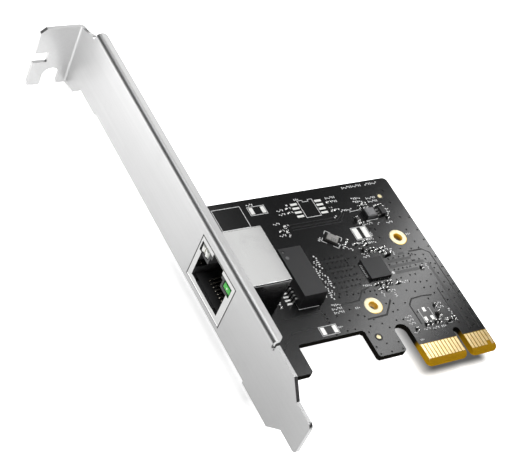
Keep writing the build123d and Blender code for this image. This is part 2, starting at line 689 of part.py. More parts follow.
def spring_contact(tail_x, y):
    """One flat wire: tail through the board, run along the floor, nose, and the rising spring."""
    centre = SPRING_THICK / 2
    low = SPRING_FLOOR
    nose_x = SPRING_NOSE_X - centre
    nose_foot = low + centre
    nose_top = low + SPRING_NOSE_TALL
    with BuildLine(Plane.XZ) as route:
        Polyline((tail_x, -TAIL_DROP), (tail_x, low), (SPRING_NOSE_X, low), (nose_x, nose_foot))
        FilletPolyline(
            (nose_x, nose_foot),
            (nose_x, nose_top),
            (SPRING_END_X, SPRING_END_Z),
            radius=SPRING_THICK,
        )
    start = route.line @ 0
    with BuildSketch(Plane(origin=start, z_dir=(0, 0, 1))) as section:
        Rectangle(SPRING_THICK, SPRING_WIDE)
    return Pos(0, y, 0) * sweep(section.sketch, path=route.line, transition=Transition.RIGHT)


def jack_contacts():
    return group(spring_contact(x, y) for x, y in tail_places())


def lamp_lens(middle, two_lobes):
    """A lamp's lens, from its back in the pocket to its rounded front."""
    front = FACE_X + SHIELD_SHEET
    lens = block(front, LAMP_BACK, middle - LAMP_WIDE / 2, middle + LAMP_WIDE / 2, LAMP_Z - LAMP_TALL / 2,
                 LAMP_Z + LAMP_TALL / 2)
    lens = fillet(lens.edges().group_by(Axis.X)[0], LAMP_FRONT_ROUND)
    if two_lobes:
        lobe_x = front + LOBE_ROUND / 2 - LOBE_REACH
        for side in (-1, 1):
            lobe_y = middle + side * LAMP_WIDE / 4
            lens += peg(lobe_x, lobe_y, LOBE_ROUND, LAMP_Z - LOBE_TALL / 2, LAMP_Z + LOBE_TALL / 2)
    return lens


def jack_lamp_leads():
    """Two leads for each lamp: back from the lens, then down through the board."""
    half = LAMP_LEAD / 2
    leads = []
    for x, y in lamp_lead_places():
        run = block(LAMP_BACK, x + half, y - half, y + half, LAMP_Z - half, LAMP_Z + half)
        drop = block(x - half, x + half, y - half, y + half, -TAIL_DROP, LAMP_Z + half)
        leads.append(run + drop)
    return group(leads)


def solder_cone(x, y, width, depth):
    """A solder joint round a square tail, seated on the solder side."""
    under = -BOARD_THICK
    inset = (SOLDER_ROUND - SOLDER_TIP) / 2
    far = inset + SOLDER_TIP
    frustum = Wedge(SOLDER_ROUND, SOLDER_TALL, SOLDER_ROUND, inset, inset, far, far)
    frustum = Pos(x, y, under - SOLDER_TALL / 2) * Rot(-90, 0, 0) * frustum
    turned = Pos(x, y, 0) * Rot(0, 0, 45) * Pos(-x, -y, 0) * frustum
    cone = frustum & turned
    low = under - 2 * SOLDER_TALL
    return cone - block(x - depth / 2, x + depth / 2, y - width / 2, y + width / 2, low, 1)


def jack_solder_joints():
    joints = [solder_cone(x, y, SPRING_WIDE, SPRING_THICK) for x, y in tail_places()]
    joints += [solder_cone(x, y, LAMP_LEAD, LAMP_LEAD) for x, y in lamp_lead_places()]
    return group(joints)


# Isolation transformer

def transformer_body():
    base = Plane(origin=(TRANSFORMER_X, TRANSFORMER_Y, TRANSFORMER_STANDOFF))
    tall = TRANSFORMER_TOP - TRANSFORMER_STANDOFF
    body = extrude(base * Rectangle(TRANSFORMER_WIDE, TRANSFORMER_LONG), tall, taper=TRANSFORMER_DRAFT)
    mark_x = TRANSFORMER_X - TRANSFORMER_WIDE / 2 + PIN_MARK_FROM_SIDE
    mark_y = TRANSFORMER_Y + TRANSFORMER_LONG / 2 - PIN_MARK_FROM_END
    mark = extrude(RegularPolygon(PIN_MARK_ROUND / 2, RING_SIDES), -PIN_MARK_DEPTH)
    return body - Pos(mark_x, mark_y, TRANSFORMER_TOP) * mark


def gull_wing_lead(side, y):
    """One lead: shoulder out of the body, leg down, foot flat on the board."""
    foot_wall = TRANSFORMER_X + side * TRANSFORMER_WIDE / 2
    low = LEAD_SHOULDER_Z - LEAD_THICK
    wall = foot_wall - side * (low - TRANSFORMER_STANDOFF) * tan(radians(TRANSFORMER_DRAFT))
    shoulder = wall + side * LEAD_SHOULDER
    toe = wall + side * LEAD_REACH
    thick = LEAD_THICK
    z = LEAD_SHOULDER_Z
    points = (
        (wall, z), (shoulder, z), (shoulder + side * thick, thick), (toe, thick), (toe, 0),
        (shoulder, 0), (shoulder - side * thick, z - thick), (wall, z - thick),
    )
    drawing = Plane(origin=(0, y + LEAD_WIDE / 2, 0), x_dir=(1, 0, 0), z_dir=(0, -1, 0))
    return extrude(drawing * make_face(Polyline(*points, close=True)), LEAD_WIDE)


def transformer_leads():
    first = TRANSFORMER_Y - LEAD_PITCH * (LEADS_PER_SIDE - 1) / 2
    leads = []
    for side in (-1, 1):
        leads += [gull_wing_lead(side, first + LEAD_PITCH * i) for i in range(LEADS_PER_SIDE)]
    return group(leads)


# Controller, crystal and power converter

def controller_body():
    half = CONTROLLER_SIDE / 2
    x0, x1 = CONTROLLER_X - half, CONTROLLER_X + half
    y0, y1 = CONTROLLER_Y - half, CONTROLLER_Y + half
    return block(x0, x1, y0, y1, 0, CONTROLLER_TALL)


def controller_terminals():
    """The solder fillets of the leadless package, along its four sides."""
    half = CONTROLLER_SIDE / 2
    first = -TERMINAL_PITCH * (TERMINAL_COUNT - 1) / 2
    wide = TERMINAL_WIDE / 2
    terminals = []
    for quarter in range(4):
        turn = Pos(CONTROLLER_X, CONTROLLER_Y, 0) * Rot(0, 0, 90 * quarter)
        for i in range(TERMINAL_COUNT):
            y = first + TERMINAL_PITCH * i
            terminals.append(turn * block(half, half + TERMINAL_PROUD, y - wide, y + wide, 0, TERMINAL_TALL))
    return group(terminals)


def crystal_place():
    return Pos(CRYSTAL_X, CRYSTAL_Y, 0) * Rot(0, 0, CRYSTAL_TURN)


def crystal_base():
    base = Box(CRYSTAL_LONG, CRYSTAL_WIDE, CRYSTAL_BASE_TALL)
    return crystal_place() * Pos(0, 0, CRYSTAL_BASE_TALL / 2) * base


def crystal_lid():
    long_side = CRYSTAL_LONG - 2 * CRYSTAL_RIM
    wide_side = CRYSTAL_WIDE - 2 * CRYSTAL_RIM
    middle = CRYSTAL_BASE_TALL + CRYSTAL_LID_TALL / 2
    lid = Box(long_side, wide_side, CRYSTAL_LID_TALL)
    lid = chamfer(lid.edges().filter_by(Axis.Z), CRYSTAL_RIM)
    return crystal_place() * Pos(0, 0, middle) * lid


def inductor_core():
    half_long, half_wide = INDUCTOR_LONG / 2, INDUCTOR_WIDE / 2
    x0, x1 = INDUCTOR_X - half_long + INDUCTOR_TERMINAL, INDUCTOR_X + half_long - INDUCTOR_TERMINAL
    core = block(x0, x1, INDUCTOR_Y - half_wide, INDUCTOR_Y + half_wide, 0, INDUCTOR_TALL)
    return chamfer(core.edges().group_by(Axis.Z)[-1], INDUCTOR_CHAMFER)


def inductor_terminals():
    half_long, half_wide = INDUCTOR_LONG / 2, INDUCTOR_WIDE / 2
    terminals = []
    for side in (-1, 1):
        outer = INDUCTOR_X + side * half_long
        x0, x1 = sorted((outer, outer - side * INDUCTOR_TERMINAL))
        y0, y1 = INDUCTOR_Y - half_wide, INDUCTOR_Y + half_wide
        terminals.append(block(x0, x1, y0, y1, 0, INDUCTOR_TALL - INDUCTOR_CHAMFER))
    return group(terminals)


def regulator_body():
    half_wide, half_long = REGULATOR_WIDE / 2, REGULATOR_LONG / 2
    lift = LEAD_THICK / 2
    return block(REGULATOR_X - half_wide, REGULATOR_X + half_wide, REGULATOR_Y - half_long,
                 REGULATOR_Y + half_long, lift, REGULATOR_TALL)


def regulator_leads():
    """Three short gull-wing leads on each long side."""
    leads = []
    half = REGULATOR_LEAD_WIDE / 2
    for side in (-1, 1):
        wall = REGULATOR_X + side * REGULATOR_WIDE / 2
        knee = wall + side * LEAD_THICK
        toe = wall + side * 3 * LEAD_THICK
        for step in (-1, 0, 1):
            y = REGULATOR_Y + step * REGULATOR_LEAD_PITCH
            x0, x1 = sorted((wall, knee))
            leg = block(x0, x1, y - half, y + half, 0, REGULATOR_TALL / 2)
            x0, x1 = sorted((wall, toe))
            leads.append(leg + block(x0, x1, y - half, y + half, 0, LEAD_THICK))
    return group(leads)


# Small chip parts

def chip_body(place, long_side, wide_side, tall):
    x, y, turn = place
    return Pos(x, y, tall / 2) * Rot(0, 0, turn) * Box(long_side - 2 * CHIP_END, wide_side, tall)


def chip_ends(place, long_side, wide_side, tall):
    x, y, turn = place
    ends = []
    for side in (-1, 1):
        middle = side * (long_side - CHIP_END) / 2
        cap = Pos(middle, 0, 0) * Box(CHIP_END, wide_side, tall)
        ends.append(Pos(x, y, tall / 2) * Rot(0, 0, turn) * cap)
    return ends


def capacitor_bodies():
    small = [chip_body(place, CHIP_LONG, CHIP_WIDE, CHIP_TALL) for place in CAPACITOR_PLACES]
    big = [chip_body(place, BIG_CHIP_LONG, BIG_CHIP_WIDE, BIG_CHIP_WIDE) for place in BIG_CAPACITOR_PLACES]
    return group(small + big)


def capacitor_ends():
    ends = []
    for place in CAPACITOR_PLACES:
        ends += chip_ends(place, CHIP_LONG, CHIP_WIDE, CHIP_TALL)
    for place in BIG_CAPACITOR_PLACES:
        ends += chip_ends(place, BIG_CHIP_LONG, BIG_CHIP_WIDE, BIG_CHIP_WIDE)
    return group(ends)


def resistor_bodies():
    return group(chip_body(place, CHIP_LONG, CHIP_WIDE, RESISTOR_TALL) for place in RESISTOR_PLACES)


def resistor_ends():
    ends = []
    for place in RESISTOR_PLACES:
        ends += chip_ends(place, CHIP_LONG, CHIP_WIDE, RESISTOR_TALL)
    return group(ends)


# Plated holes, marks and bare pads

def heatsink_hole_rings():
    """A plated ring round each hole, on both sides of the board."""
    ring = RegularPolygon(HEATSINK_RING / 2, RING_SIDES)
    ring -= RegularPolygon(HEATSINK_HOLE / 2, RING_SIDES, major_radius=False)
    rings = []
    for x, y in HEATSINK_HOLES:
        for z in (0, -BOARD_THICK - COPPER):
            rings.append(Pos(x, y, z) * extrude(ring, COPPER))
    return group(rings)


def fiducial_marks():
    disc = extrude(RegularPolygon(FIDUCIAL_ROUND / 2, RING_SIDES), COPPER)
    return group(Pos(x, y, 0) * disc for x, y in FIDUCIALS)


def pad(x, y, size):
    return Pos(x, y, COPPER / 2) * Box(size[0], size[1], COPPER)


def memory_footprint_pads():
    first = MEMORY_Y - MEMORY_PIN_PITCH * (MEMORY_PINS - 1) / 2
    pads = []
    for side in (-1, 1):
        x = MEMORY_X + side * MEMORY_ROW_SPACING / 2
        pads += [pad(x, first + MEMORY_PIN_PITCH * i, MEMORY_PAD) for i in range(MEMORY_PINS)]
    return group(pads)


def coil_footprint_pads():
    return group(pad(x, COIL_PADS_Y, COIL_PAD) for x in COIL_PADS_X)


def fuse_footprint_pads():
    pads = []
    for x, y in FUSES:
        pads += [pad(x + side * FUSE_PAD_SPACING / 2, y, FUSE_PAD) for side in (-1, 1)]
    return group(pads)


def transistor_footprint_pads():
    low = TRANSISTOR_Y - TRANSISTOR_PAD_DROP
    high = TRANSISTOR_Y + TRANSISTOR_PAD_DROP
    spread = TRANSISTOR_PAD_SPREAD
    places = [(TRANSISTOR_X - spread, low), (TRANSISTOR_X + spread, low), (TRANSISTOR_X, high)]
    return group(pad(x, y, TRANSISTOR_PAD) for x, y in places)


def build():
    clear_lamp, green_lamp = lamp_middles()
    return {
        "circuit_board": circuit_board(),
        "edge_contacts_front": edge_contacts(0, 1, SHORT_FRONT_CONTACT),
        "edge_contacts_back": edge_contacts(-BOARD_THICK, -1, SHORT_BACK_CONTACT),
        "bracket": bracket(),
        "bracket_screws": bracket_screws(),
        "jack_shield": jack_shield(),
        "jack_housing": jack_housing(),
        "jack_contacts": jack_contacts(),
        "jack_lamp_clear": lamp_lens(clear_lamp, True),
        "jack_lamp_green": lamp_lens(green_lamp, False),
        "jack_lamp_leads": jack_lamp_leads(),
        "jack_solder_joints": jack_solder_joints(),
        "transformer_body": transformer_body(),
        "transformer_leads": transformer_leads(),
        "controller_body": controller_body(),
        "controller_terminals": controller_terminals(),
        "crystal_base": crystal_base(),
        "crystal_lid": crystal_lid(),
        "inductor_core": inductor_core(),
        "inductor_terminals": inductor_terminals(),
        "regulator_body": regulator_body(),
        "regulator_leads": regulator_leads(),
        "capacitor_bodies": capacitor_bodies(),
        "capacitor_ends": capacitor_ends(),
        "resistor_bodies": resistor_bodies(),
        "resistor_ends": resistor_ends(),
        "heatsink_hole_rings": heatsink_hole_rings(),
        "fiducial_marks": fiducial_marks(),
        "memory_footprint_pads": memory_footprint_pads(),
        "coil_footprint_pads": coil_footprint_pads(),
        "fuse_footprint_pads": fuse_footprint_pads(),
        "transistor_footprint_pads": transistor_footprint_pads(),
    }


os.makedirs("parts", exist_ok=True)
for name, shape in build().items():
    export_step(shape, f"parts/{name}.step")
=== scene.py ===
import bpy
import bmesh
import math
from mathutils import Matrix, Vector
from mathutils.bvhtree import BVHTree


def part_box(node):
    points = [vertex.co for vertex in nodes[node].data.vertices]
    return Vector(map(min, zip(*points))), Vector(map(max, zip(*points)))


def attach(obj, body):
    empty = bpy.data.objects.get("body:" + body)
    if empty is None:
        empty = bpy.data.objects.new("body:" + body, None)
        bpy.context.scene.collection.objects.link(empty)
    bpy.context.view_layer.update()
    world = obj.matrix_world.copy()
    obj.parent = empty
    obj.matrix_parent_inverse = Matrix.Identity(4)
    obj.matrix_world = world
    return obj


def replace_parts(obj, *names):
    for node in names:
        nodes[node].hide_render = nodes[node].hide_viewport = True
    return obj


# Ethernet adapter card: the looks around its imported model. Everything is in metres in the card's own
# frame: X along the card edge, Y up towards the bracket's tab, Z out of the component side.

MM = 0.001
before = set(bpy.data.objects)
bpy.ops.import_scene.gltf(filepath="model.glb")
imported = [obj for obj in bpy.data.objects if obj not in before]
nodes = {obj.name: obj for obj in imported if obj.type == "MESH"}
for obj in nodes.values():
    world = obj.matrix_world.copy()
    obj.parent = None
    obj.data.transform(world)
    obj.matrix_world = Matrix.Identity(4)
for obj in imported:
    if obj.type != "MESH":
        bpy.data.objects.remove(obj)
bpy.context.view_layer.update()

# Camera, from the photograph's perspective
LENS_MM = 103.33
SENSOR_MM = 36.0
CAMERA_PLACE = Vector((-220.42, -128.47, 241.64)) * MM
CAMERA_RIGHT = Vector((0.835, -0.44565, 0.32275))
CAMERA_DOWN = Vector((-0.15023, -0.74891, -0.64542))
CAMERA_AHEAD = Vector((0.52934, 0.49044, -0.69229))
CAMERA_SHIFT = (-0.00428, 0.00289)
FLOOR_Z = -6.45 * MM

# Places on the board, in millimetres
BOARD_THICK = 1.57
HEATSINK_HOLES = ((0.6, 36.2), (-17.6, 18.6))
HEATSINK_HOLE = 2.3
FIDUCIALS = ((3.0, 49.4), (-21.2, 10.1))
CRYSTAL_PLACE = (-17.7, 39.1)
CRYSTAL_TURN = -42.0


# Shader tools

class Signal:
    """One shader socket. Arithmetic on it adds Math nodes."""

    def __init__(self, finish, socket):
        self.finish = finish
        self.socket = socket

    def math(self, operation, *others):
        values = [self, *others]
        node = self.finish.add("ShaderNodeMath", {"operation": operation}, dict(enumerate(values)))
        return node.out("Value")

    def __add__(self, other):
        return self.math("ADD", other)

    __radd__ = __add__

    def __mul__(self, other):
        return self.math("MULTIPLY", other)

    __rmul__ = __mul__

    def __sub__(self, other):
        return self.math("SUBTRACT", other)

    def __rsub__(self, other):
        return (self * -1.0).math("ADD", other)

    def clamp(self, low=0.0, high=1.0):
        return self.math("MAXIMUM", low).math("MINIMUM", high)

    def ramp(self, low, high):
        """0 below low and 1 above high, with a smooth rise between."""
        settings = {"interpolation_type": "SMOOTHSTEP"}
        sockets = {"Value": self, "From Min": low, "From Max": high}
        return self.finish.add("ShaderNodeMapRange", settings, sockets).out("Result")

    def between(self, rise, fall):
        """1 between two soft edges, each given by the millimetres where it begins and ends."""
        return self.ramp(rise[0] * MM, rise[1] * MM) * (1 - self.ramp(fall[0] * MM, fall[1] * MM))


class NodeBox:
    """A node of a finish, with its outputs as signals."""

    def __init__(self, finish, node):
        self.finish = finish
        self.node = node

    def out(self, name):
        return Signal(self.finish, self.node.outputs[name])


class Finish:
    """A material made of nodes, with one Principled shader at its end."""

    def __init__(self, name, **surface):
        self.material = bpy.data.materials.new(name)
        self.material.use_nodes = True
        self.tree = self.material.node_tree
        self.tree.nodes.clear()
        fixed = {key.replace("_", " "): value for key, value in surface.items()}
        self.shader = self.add("ShaderNodeBsdfPrincipled", {}, fixed)
        self.add("ShaderNodeOutputMaterial", {}, {"Surface": self.shader.out("BSDF")})

    def add(self, kind, settings, sockets):
        """A node of any kind: its settings are set first, then its sockets' values or links."""
        node = self.tree.nodes.new(kind)
        for name, value in settings.items():
            setattr(node, name, value)
        for name, value in sockets.items():
            self.feed(node.inputs[name], value)
        return NodeBox(self, node)

    def feed(self, socket, value):
        if isinstance(value, Signal):
            self.tree.links.new(value.socket, socket)
        elif isinstance(value, tuple) and len(value) == 3 and socket.type == "RGBA":
            socket.default_value = (*value, 1.0)
        else:
            socket.default_value = value

    def place(self):
        """Points of the part's own frame, in metres."""
        return self.add("ShaderNodeTexCoord", {}, {}).out("Object")

    def facing(self):
        """Which way the surface faces in the part's own frame."""
        return self.add("ShaderNodeTexCoord", {}, {}).out("Normal")

    def split(self, vector):
        return self.add("ShaderNodeSeparateXYZ", {}, {"Vector": vector})

    def axes(self):
        parts = self.split(self.place())
        return parts.out("X"), parts.out("Y"), parts.out("Z")

    def stretched(self, x, y, z):
        """The place, scaled along each axis for grain and brush lines."""
        sockets = {0: self.place(), 1: Vector((x, y, z))}
        return self.add("ShaderNodeVectorMath", {"operation": "MULTIPLY"}, sockets).out("Vector")

    def noise(self, scale, detail, vector=None, roughness=0.5):
        sockets = {"Scale": scale, "Detail": detail, "Roughness": roughness}
        sockets["Vector"] = self.place() if vector is None else vector
        return self.add("ShaderNodeTexNoise", {}, sockets).out("Fac")

    def cells(self, scale, feature="F1"):
        sockets = {"Scale": scale, "Vector": self.place()}
        return self.add("ShaderNodeTexVoronoi", {"feature": feature}, sockets).out("Distance")

    def mix(self, share, first, second):
        """A colour between two colours."""
        node = self.add("ShaderNodeMix", {"data_type": "RGBA"}, {})
        colour_inputs = [s for s in node.node.inputs if s.type == "RGBA"]
        self.feed(node.node.inputs[0], share)
        self.feed(colour_inputs[0], first)
        self.feed(colour_inputs[1], second)
        colour_output = [s for s in node.node.outputs if s.type == "RGBA"][0]
        return Signal(self, colour_output)

    def bump(self, height, depth, strength):
        sockets = {"Height": height, "Distance": depth * MM, "Strength": strength}
        return self.add("ShaderNodeBump", {}, sockets).out("Normal")

    def set(self, **sockets):
        for name, value in sockets.items():
            self.feed(self.shader.node.inputs[name.replace("_", " ")], value)
        return self.material


# Finishes

def grey(level):
    return (level, level, level)


def board_finish():
    """Satin black solder mask on both faces, bare golden laminate at the contact edge, dark cut sides."""
    f = Finish("satin_black_solder_mask", Specular_IOR_Level=0.0, Coat_Roughness=0.24, Coat_IOR=1.5)
    x, y, z = f.axes()
    up = f.split(f.facing()).out("Z").math("ABSOLUTE")
    cut_side = 1 - up.ramp(0.6, 0.85)
    bare = bare_laminate(x, y, cut_side)
    ink = f.mix(f.noise(420, 4.0).ramp(0.3, 0.7), (0.0042, 0.0044, 0.0046), (0.0056, 0.0058, 0.0060))
    layers = z.math("MULTIPLY", 9000).math("SINE").ramp(-0.6, 0.9)
    side = f.mix(layers, (0.004, 0.004, 0.0035), (0.010, 0.009, 0.007))
    laminate = f.mix(glass_weave(f).ramp(0.35, 0.65), (0.30, 0.155, 0.003), (0.40, 0.22, 0.006))
    colour = f.mix(bare, f.mix(cut_side, ink, side), laminate)
    orange_peel = f.noise(2600, 3.0) * 0.6 + f.noise(700, 2.0) * 0.4
    rough = (0.40 + orange_peel * 0.10) + cut_side * 0.3
    gloss = (1 - cut_side) * (1 - bare * 0.5) * (orange_peel * 0.12 + 0.92)
    relief = f.bump(orange_peel, 0.004, 0.35)
    return f.set(Base_Color=colour, Roughness=rough, Coat_Weight=gloss.clamp(), Normal=relief)


def bare_laminate(x, y, cut_side):
    """1 where the mask leaves the contact tongue open, on its faces and on its cut walls."""
    past_tongue_end = x.ramp(-12.30 * MM, -12.20 * MM)
    faces = (1 - cut_side) * past_tongue_end * (1 - y.ramp(5.60 * MM, 5.75 * MM))
    walls = cut_side * past_tongue_end * (1 - y.ramp(5.2 * MM, 7.2 * MM))
    return (faces + walls).clamp()


def glass_weave(f):
    """The laminate's glass threads, which cross each other along X and Y."""
    threads_y = f.noise(9000, 2.0, f.stretched(1.0, 0.12, 1.0))
    threads_x = f.noise(9000, 2.0, f.stretched(0.12, 1.0, 1.0))
    return threads_y * 0.5 + threads_x * 0.5


def raised_mask_finish(name, light, rough, gloss):
    """Mask over a raised copper track, a gap or a via: the board's ink, a little lighter or darker."""
    f = Finish(name, Specular_IOR_Level=gloss)
    mottle = f.noise(1800, 3.0)
    dark = tuple(light * part for part in (0.80, 0.82, 0.85))
    bright = tuple(light * part for part in (1.10, 1.14, 1.18))
    return f.set(Base_Color=f.mix(mottle.ramp(0.3, 0.7), dark, bright), Roughness=mottle * 0.1 + rough)


# Heights along the bracket between which its painted shade fades out, darkest at the low end
LOW_END_Y = -15
HIGH_END_Y = 100


def plating_finish(name, colour, rough, streak, grain, worn, painted_shade_low_end=None, painted_shade_front_side=None):
    """Bright plated sheet: fine rolling streaks along Y, soft clouds, and duller wear where it was handled.

    Its colour can carry painted shade: it can start from a darker one at the low end, for a dimmer reflection
    there, and be darker on sides towards the contacts, for the dark board they reflect.
    """
    f = Finish(name, Metallic=1.0)
    # Painted shade: darker towards the low end, standing in for the dimmer reflection there
    if painted_shade_low_end:
        y = f.axes()[1]
        colour = f.mix(y.ramp(LOW_END_Y * MM, HIGH_END_Y * MM), painted_shade_low_end, colour)
    # Painted shade: sides facing the contacts turn darker, standing in for the dark board they reflect
    if painted_shade_front_side:
        towards_contacts = f.split(f.facing()).out("Y") * -1
        colour = f.mix(towards_contacts.ramp(0.6, 0.9), colour, painted_shade_front_side)
    streaks = f.noise(1400, 3.0, f.stretched(1.0, streak, 1.0))
    clouds = f.noise(38, 3.0)
    wear = f.noise(120, 5.0).ramp(0.58, 0.72) * worn
    cloudy = (streaks * 0.45 + clouds * 0.55).ramp(0.3, 0.7)
    dull = f.mix((1 - cloudy) * 0.07 + wear * 0.2, colour, (0.0, 0.0, 0.0))
    roughness = (streaks * 0.07 + clouds * 0.05) + wear * 0.1 + rough
    return f.set(Base_Color=dull, Roughness=roughness, Normal=f.bump(streaks, grain, 0.3))


def gold_finish(name, colour, deep, rough):
    """Gold plating with a slightly uneven, faintly redder film."""
    f = Finish(name, Metallic=1.0)
    film = f.noise(900, 4.0) * 0.6 + f.noise(5200, 2.0) * 0.4
    base = f.mix(film.ramp(0.36, 0.68), deep, colour)
    return f.set(Base_Color=base, Roughness=film * 0.1 + rough, Normal=f.bump(film, 0.003, 0.3))


def ring_finish():
    """Pale plating on the wide rings, with a painted orange reflection where the rims slope off on the side
    facing +X and −Y.
    """
    f = Finish("ring_plating", Metallic=0.6)
    film = f.noise(1200, 4.0)
    flat = f.mix(film.ramp(0.3, 0.7), (0.60, 0.54, 0.35), (0.66, 0.60, 0.42))
    rim = f.mix(film.ramp(0.3, 0.7), (0.80, 0.50, 0.03), (0.92, 0.62, 0.08))
    # Painted reflection: only the slopes turned towards +X and −Y take the orange colour
    painted_glint_side = Vector((0.45, -0.89, 0))
    facing_glint_side = f.add("ShaderNodeVectorMath", {"operation": "DOT_PRODUCT"}, {0: f.facing(), 1: painted_glint_side})
    base = f.mix(facing_glint_side.out("Value").ramp(0.02, 0.14), flat, rim)
    return f.set(Base_Color=base, Roughness=film * 0.1 + 0.3, Normal=f.bump(film, 0.003, 0.3))


def solder_finish(name, colour, rough, metallic=1.0):
    """Bright reflowed solder: smooth with faint grain patches and dull flux specks."""
    f = Finish(name, Metallic=metallic)
    patches = f.cells(2400)
    specks = f.noise(5000, 3.0).ramp(0.62, 0.74)
    base = f.mix(specks, colour, tuple(0.62 * part for part in colour))
    roughness = patches * 0.12 + specks * 0.2 + rough
    return f.set(Base_Color=base, Roughness=roughness, Normal=f.bump(patches, 0.006, 0.25))


def moulded_finish(name, dark, light, rough, texture, specular=0.5):
    """Moulded or pressed material: spark-eroded texture, faint flow clouds."""
    f = Finish(name, Specular_IOR_Level=specular)
    erosion = f.cells(texture, "SMOOTH_F1") * 0.5 + f.noise(texture * 0.7, 3.0) * 0.5
    flow = f.noise(160, 3.0, f.stretched(1.0, 0.4, 1.0))
    base = f.mix((erosion * 0.4 + flow * 0.6).ramp(0.25, 0.7), dark, light)
    return f.set(Base_Color=base, Roughness=erosion * 0.14 + rough, Normal=f.bump(erosion, 0.012, 0.4))


def lens_finish(name, node, core, edge, groove, painted_highlight):
    """A tinted lamp body: deeper towards its rims, with a groove across its middle in painted shade, or a
    painted highlight in its middle.
    """
    f = Finish(name, Specular_IOR_Level=0.3)
    y, z = f.axes()[1:]
    low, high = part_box(node)
    across = (y - (low[1] + high[1]) / 2).math("ABSOLUTE")
    along = (z - (low[2] + high[2]) / 2).math("ABSOLUTE")
    swirl = f.noise(500, 3.0)
    rim = (across.ramp(0.9 * MM, 1.6 * MM) + along.ramp(0.5 * MM, 1.0 * MM)).clamp()
    tint = f.mix((rim * 0.7 + swirl * 0.3).ramp(0.1, 0.8), core, edge)
    # Painted shade: the groove across the middle is darkened in colour as well as bumped
    groove_with_painted_shade = (1 - across.ramp(0.06 * MM, 0.26 * MM)) * groove
    # Painted highlight: a near white patch at the lamp's middle
    centre = (1 - (across + along).ramp(0.16 * MM, 0.40 * MM)) * painted_highlight
    base = f.mix(centre, f.mix(groove_with_painted_shade, tint, (0.30, 0.29, 0.20)), (0.95, 1.0, 0.93))
    return f.set(Base_Color=base, Roughness=swirl * 0.08 + 0.16, Normal=f.bump(1 - groove_with_painted_shade, 0.1, 0.6))


def ink_finish(name, colour, rough):
    """Printed ink: a little uneven in cover, with a soft dry surface."""
    f = Finish(name)
    cover = f.noise(3800, 4.0)
    base = f.mix(cover.ramp(0.3, 0.75), tuple(0.72 * part for part in colour), colour)
    return f.set(Base_Color=base, Roughness=cover * 0.15 + rough, Normal=f.bump(cover, 0.004, 0.4))


def ceramic_finish(name, dark, light, rough):
    """Fired ceramic or ferrite: grainy speckle in two sizes."""
    f = Finish(name)
    speckle = f.noise(4200, 5.0, roughness=0.7)
    pores = f.cells(6500)
    base = f.mix((speckle * 0.7 + pores * 0.3).ramp(0.3, 0.65), dark, light)
    return f.set(Base_Color=base, Roughness=speckle * 0.18 + rough, Normal=f.bump(speckle, 0.006, 0.4))


# The floor's own glow where nothing stands over it, and how much of it is taken away beside the bracket as
# painted shade
FLOOR_GLOW = 1.1
BRACKET_SHADE = 0.6


def floor_finish():
    """Matte white floor with its own soft glow, with painted shade beside the bracket and painted shadows, near
    black and without glow, under the board and its contacts.
    """
    f = Finish("pale_studio_floor", Specular_IOR_Level=0.2, Emission_Strength=1.0)
    clouds = f.noise(9, 2.0)
    x, y = f.axes()[:2]
    # Painted shade beside the bracket dims the floor that the bracket's face reflects
    painted_shade_beside_bracket = x.between((-84, -70), (-60, -52)) * y.ramp(-28 * MM, -4 * MM)
    painted_shadow_under_board = x.between((-52, -46), (7, 10)) * y.between((17, 21), (50, 54))
    painted_shadow_under_contacts = x.between((-14.5, -6.5), (7, 11)) * y.between((-0.6, 2.4), (17, 21))
    painted_shadows = (painted_shadow_under_board + painted_shadow_under_contacts).clamp()
    glow = (FLOOR_GLOW - painted_shade_beside_bracket * BRACKET_SHADE - painted_shadows).clamp(0.0, FLOOR_GLOW)
    # Painted shadows: under the board and the contacts the floor turns near black and loses its glow
    base = f.mix(painted_shadows, f.mix(clouds, grey(0.90), grey(0.93)), grey(0.03))
    light = f.mix(glow * 0.9, grey(0.0), grey(1.11))
    return f.set(Base_Color=base, Roughness=clouds * 0.05 + 0.8, Emission_Color=light)


# The bracket's plating is painted darker towards its low end, as painted shade
STEEL = plating_finish("bracket_satin_plating", grey(0.66), 0.30, 0.02, 0.003, 0.15, painted_shade_low_end=grey(0.38))
# The shield's sides that face the contacts carry painted shade
SHIELD = plating_finish("shield_nickel_plating", (0.58, 0.58, 0.575), 0.09, 0.05, 0.002, 0.25,
                        painted_shade_front_side=grey(0.16))
SCREW = plating_finish("screw_zinc_plating", (0.58, 0.58, 0.59), 0.26, 0.4, 0.004, 0.8)
TIN = solder_finish("bright_tinned_leads", (0.78, 0.78, 0.77), 0.16)
SOLDER = solder_finish("reflowed_solder", (0.74, 0.74, 0.73), 0.2)
DULL_TIN = solder_finish("tinned_transformer_leads", (0.45, 0.45, 0.445), 0.22)
LID = plating_finish("crystal_lid_plating", (0.30, 0.295, 0.285), 0.34, 0.3, 0.003, 0.3)
GOLD = gold_finish("edge_gold_plating", (0.98, 0.84, 0.52), (0.93, 0.70, 0.33), 0.24)
HOLE_GOLD = ink_finish("plated_hole_wall", (0.80, 0.45, 0.02), 0.35)
SPRING_GOLD = gold_finish("spring_contact_gold", (0.80, 0.76, 0.68), (0.66, 0.60, 0.50), 0.10)
BARE_PAD = solder_finish("levelled_solder_pads", (0.80, 0.80, 0.78), 0.28, 0.25)
RING_GOLD = ring_finish()
TARGET_GOLD = solder_finish("target_gold", (0.75, 0.66, 0.40), 0.3, 0.3)
MASK = board_finish()
TRACK_MASK = raised_mask_finish("mask_over_tracks", 0.010, 0.24, 0.5)
BAND_MASK = raised_mask_finish("mask_over_inner_bands", 0.004, 0.24, 0.38)
GAP_MASK = raised_mask_finish("mask_in_pour_gaps", 0.003, 0.36, 0.30)
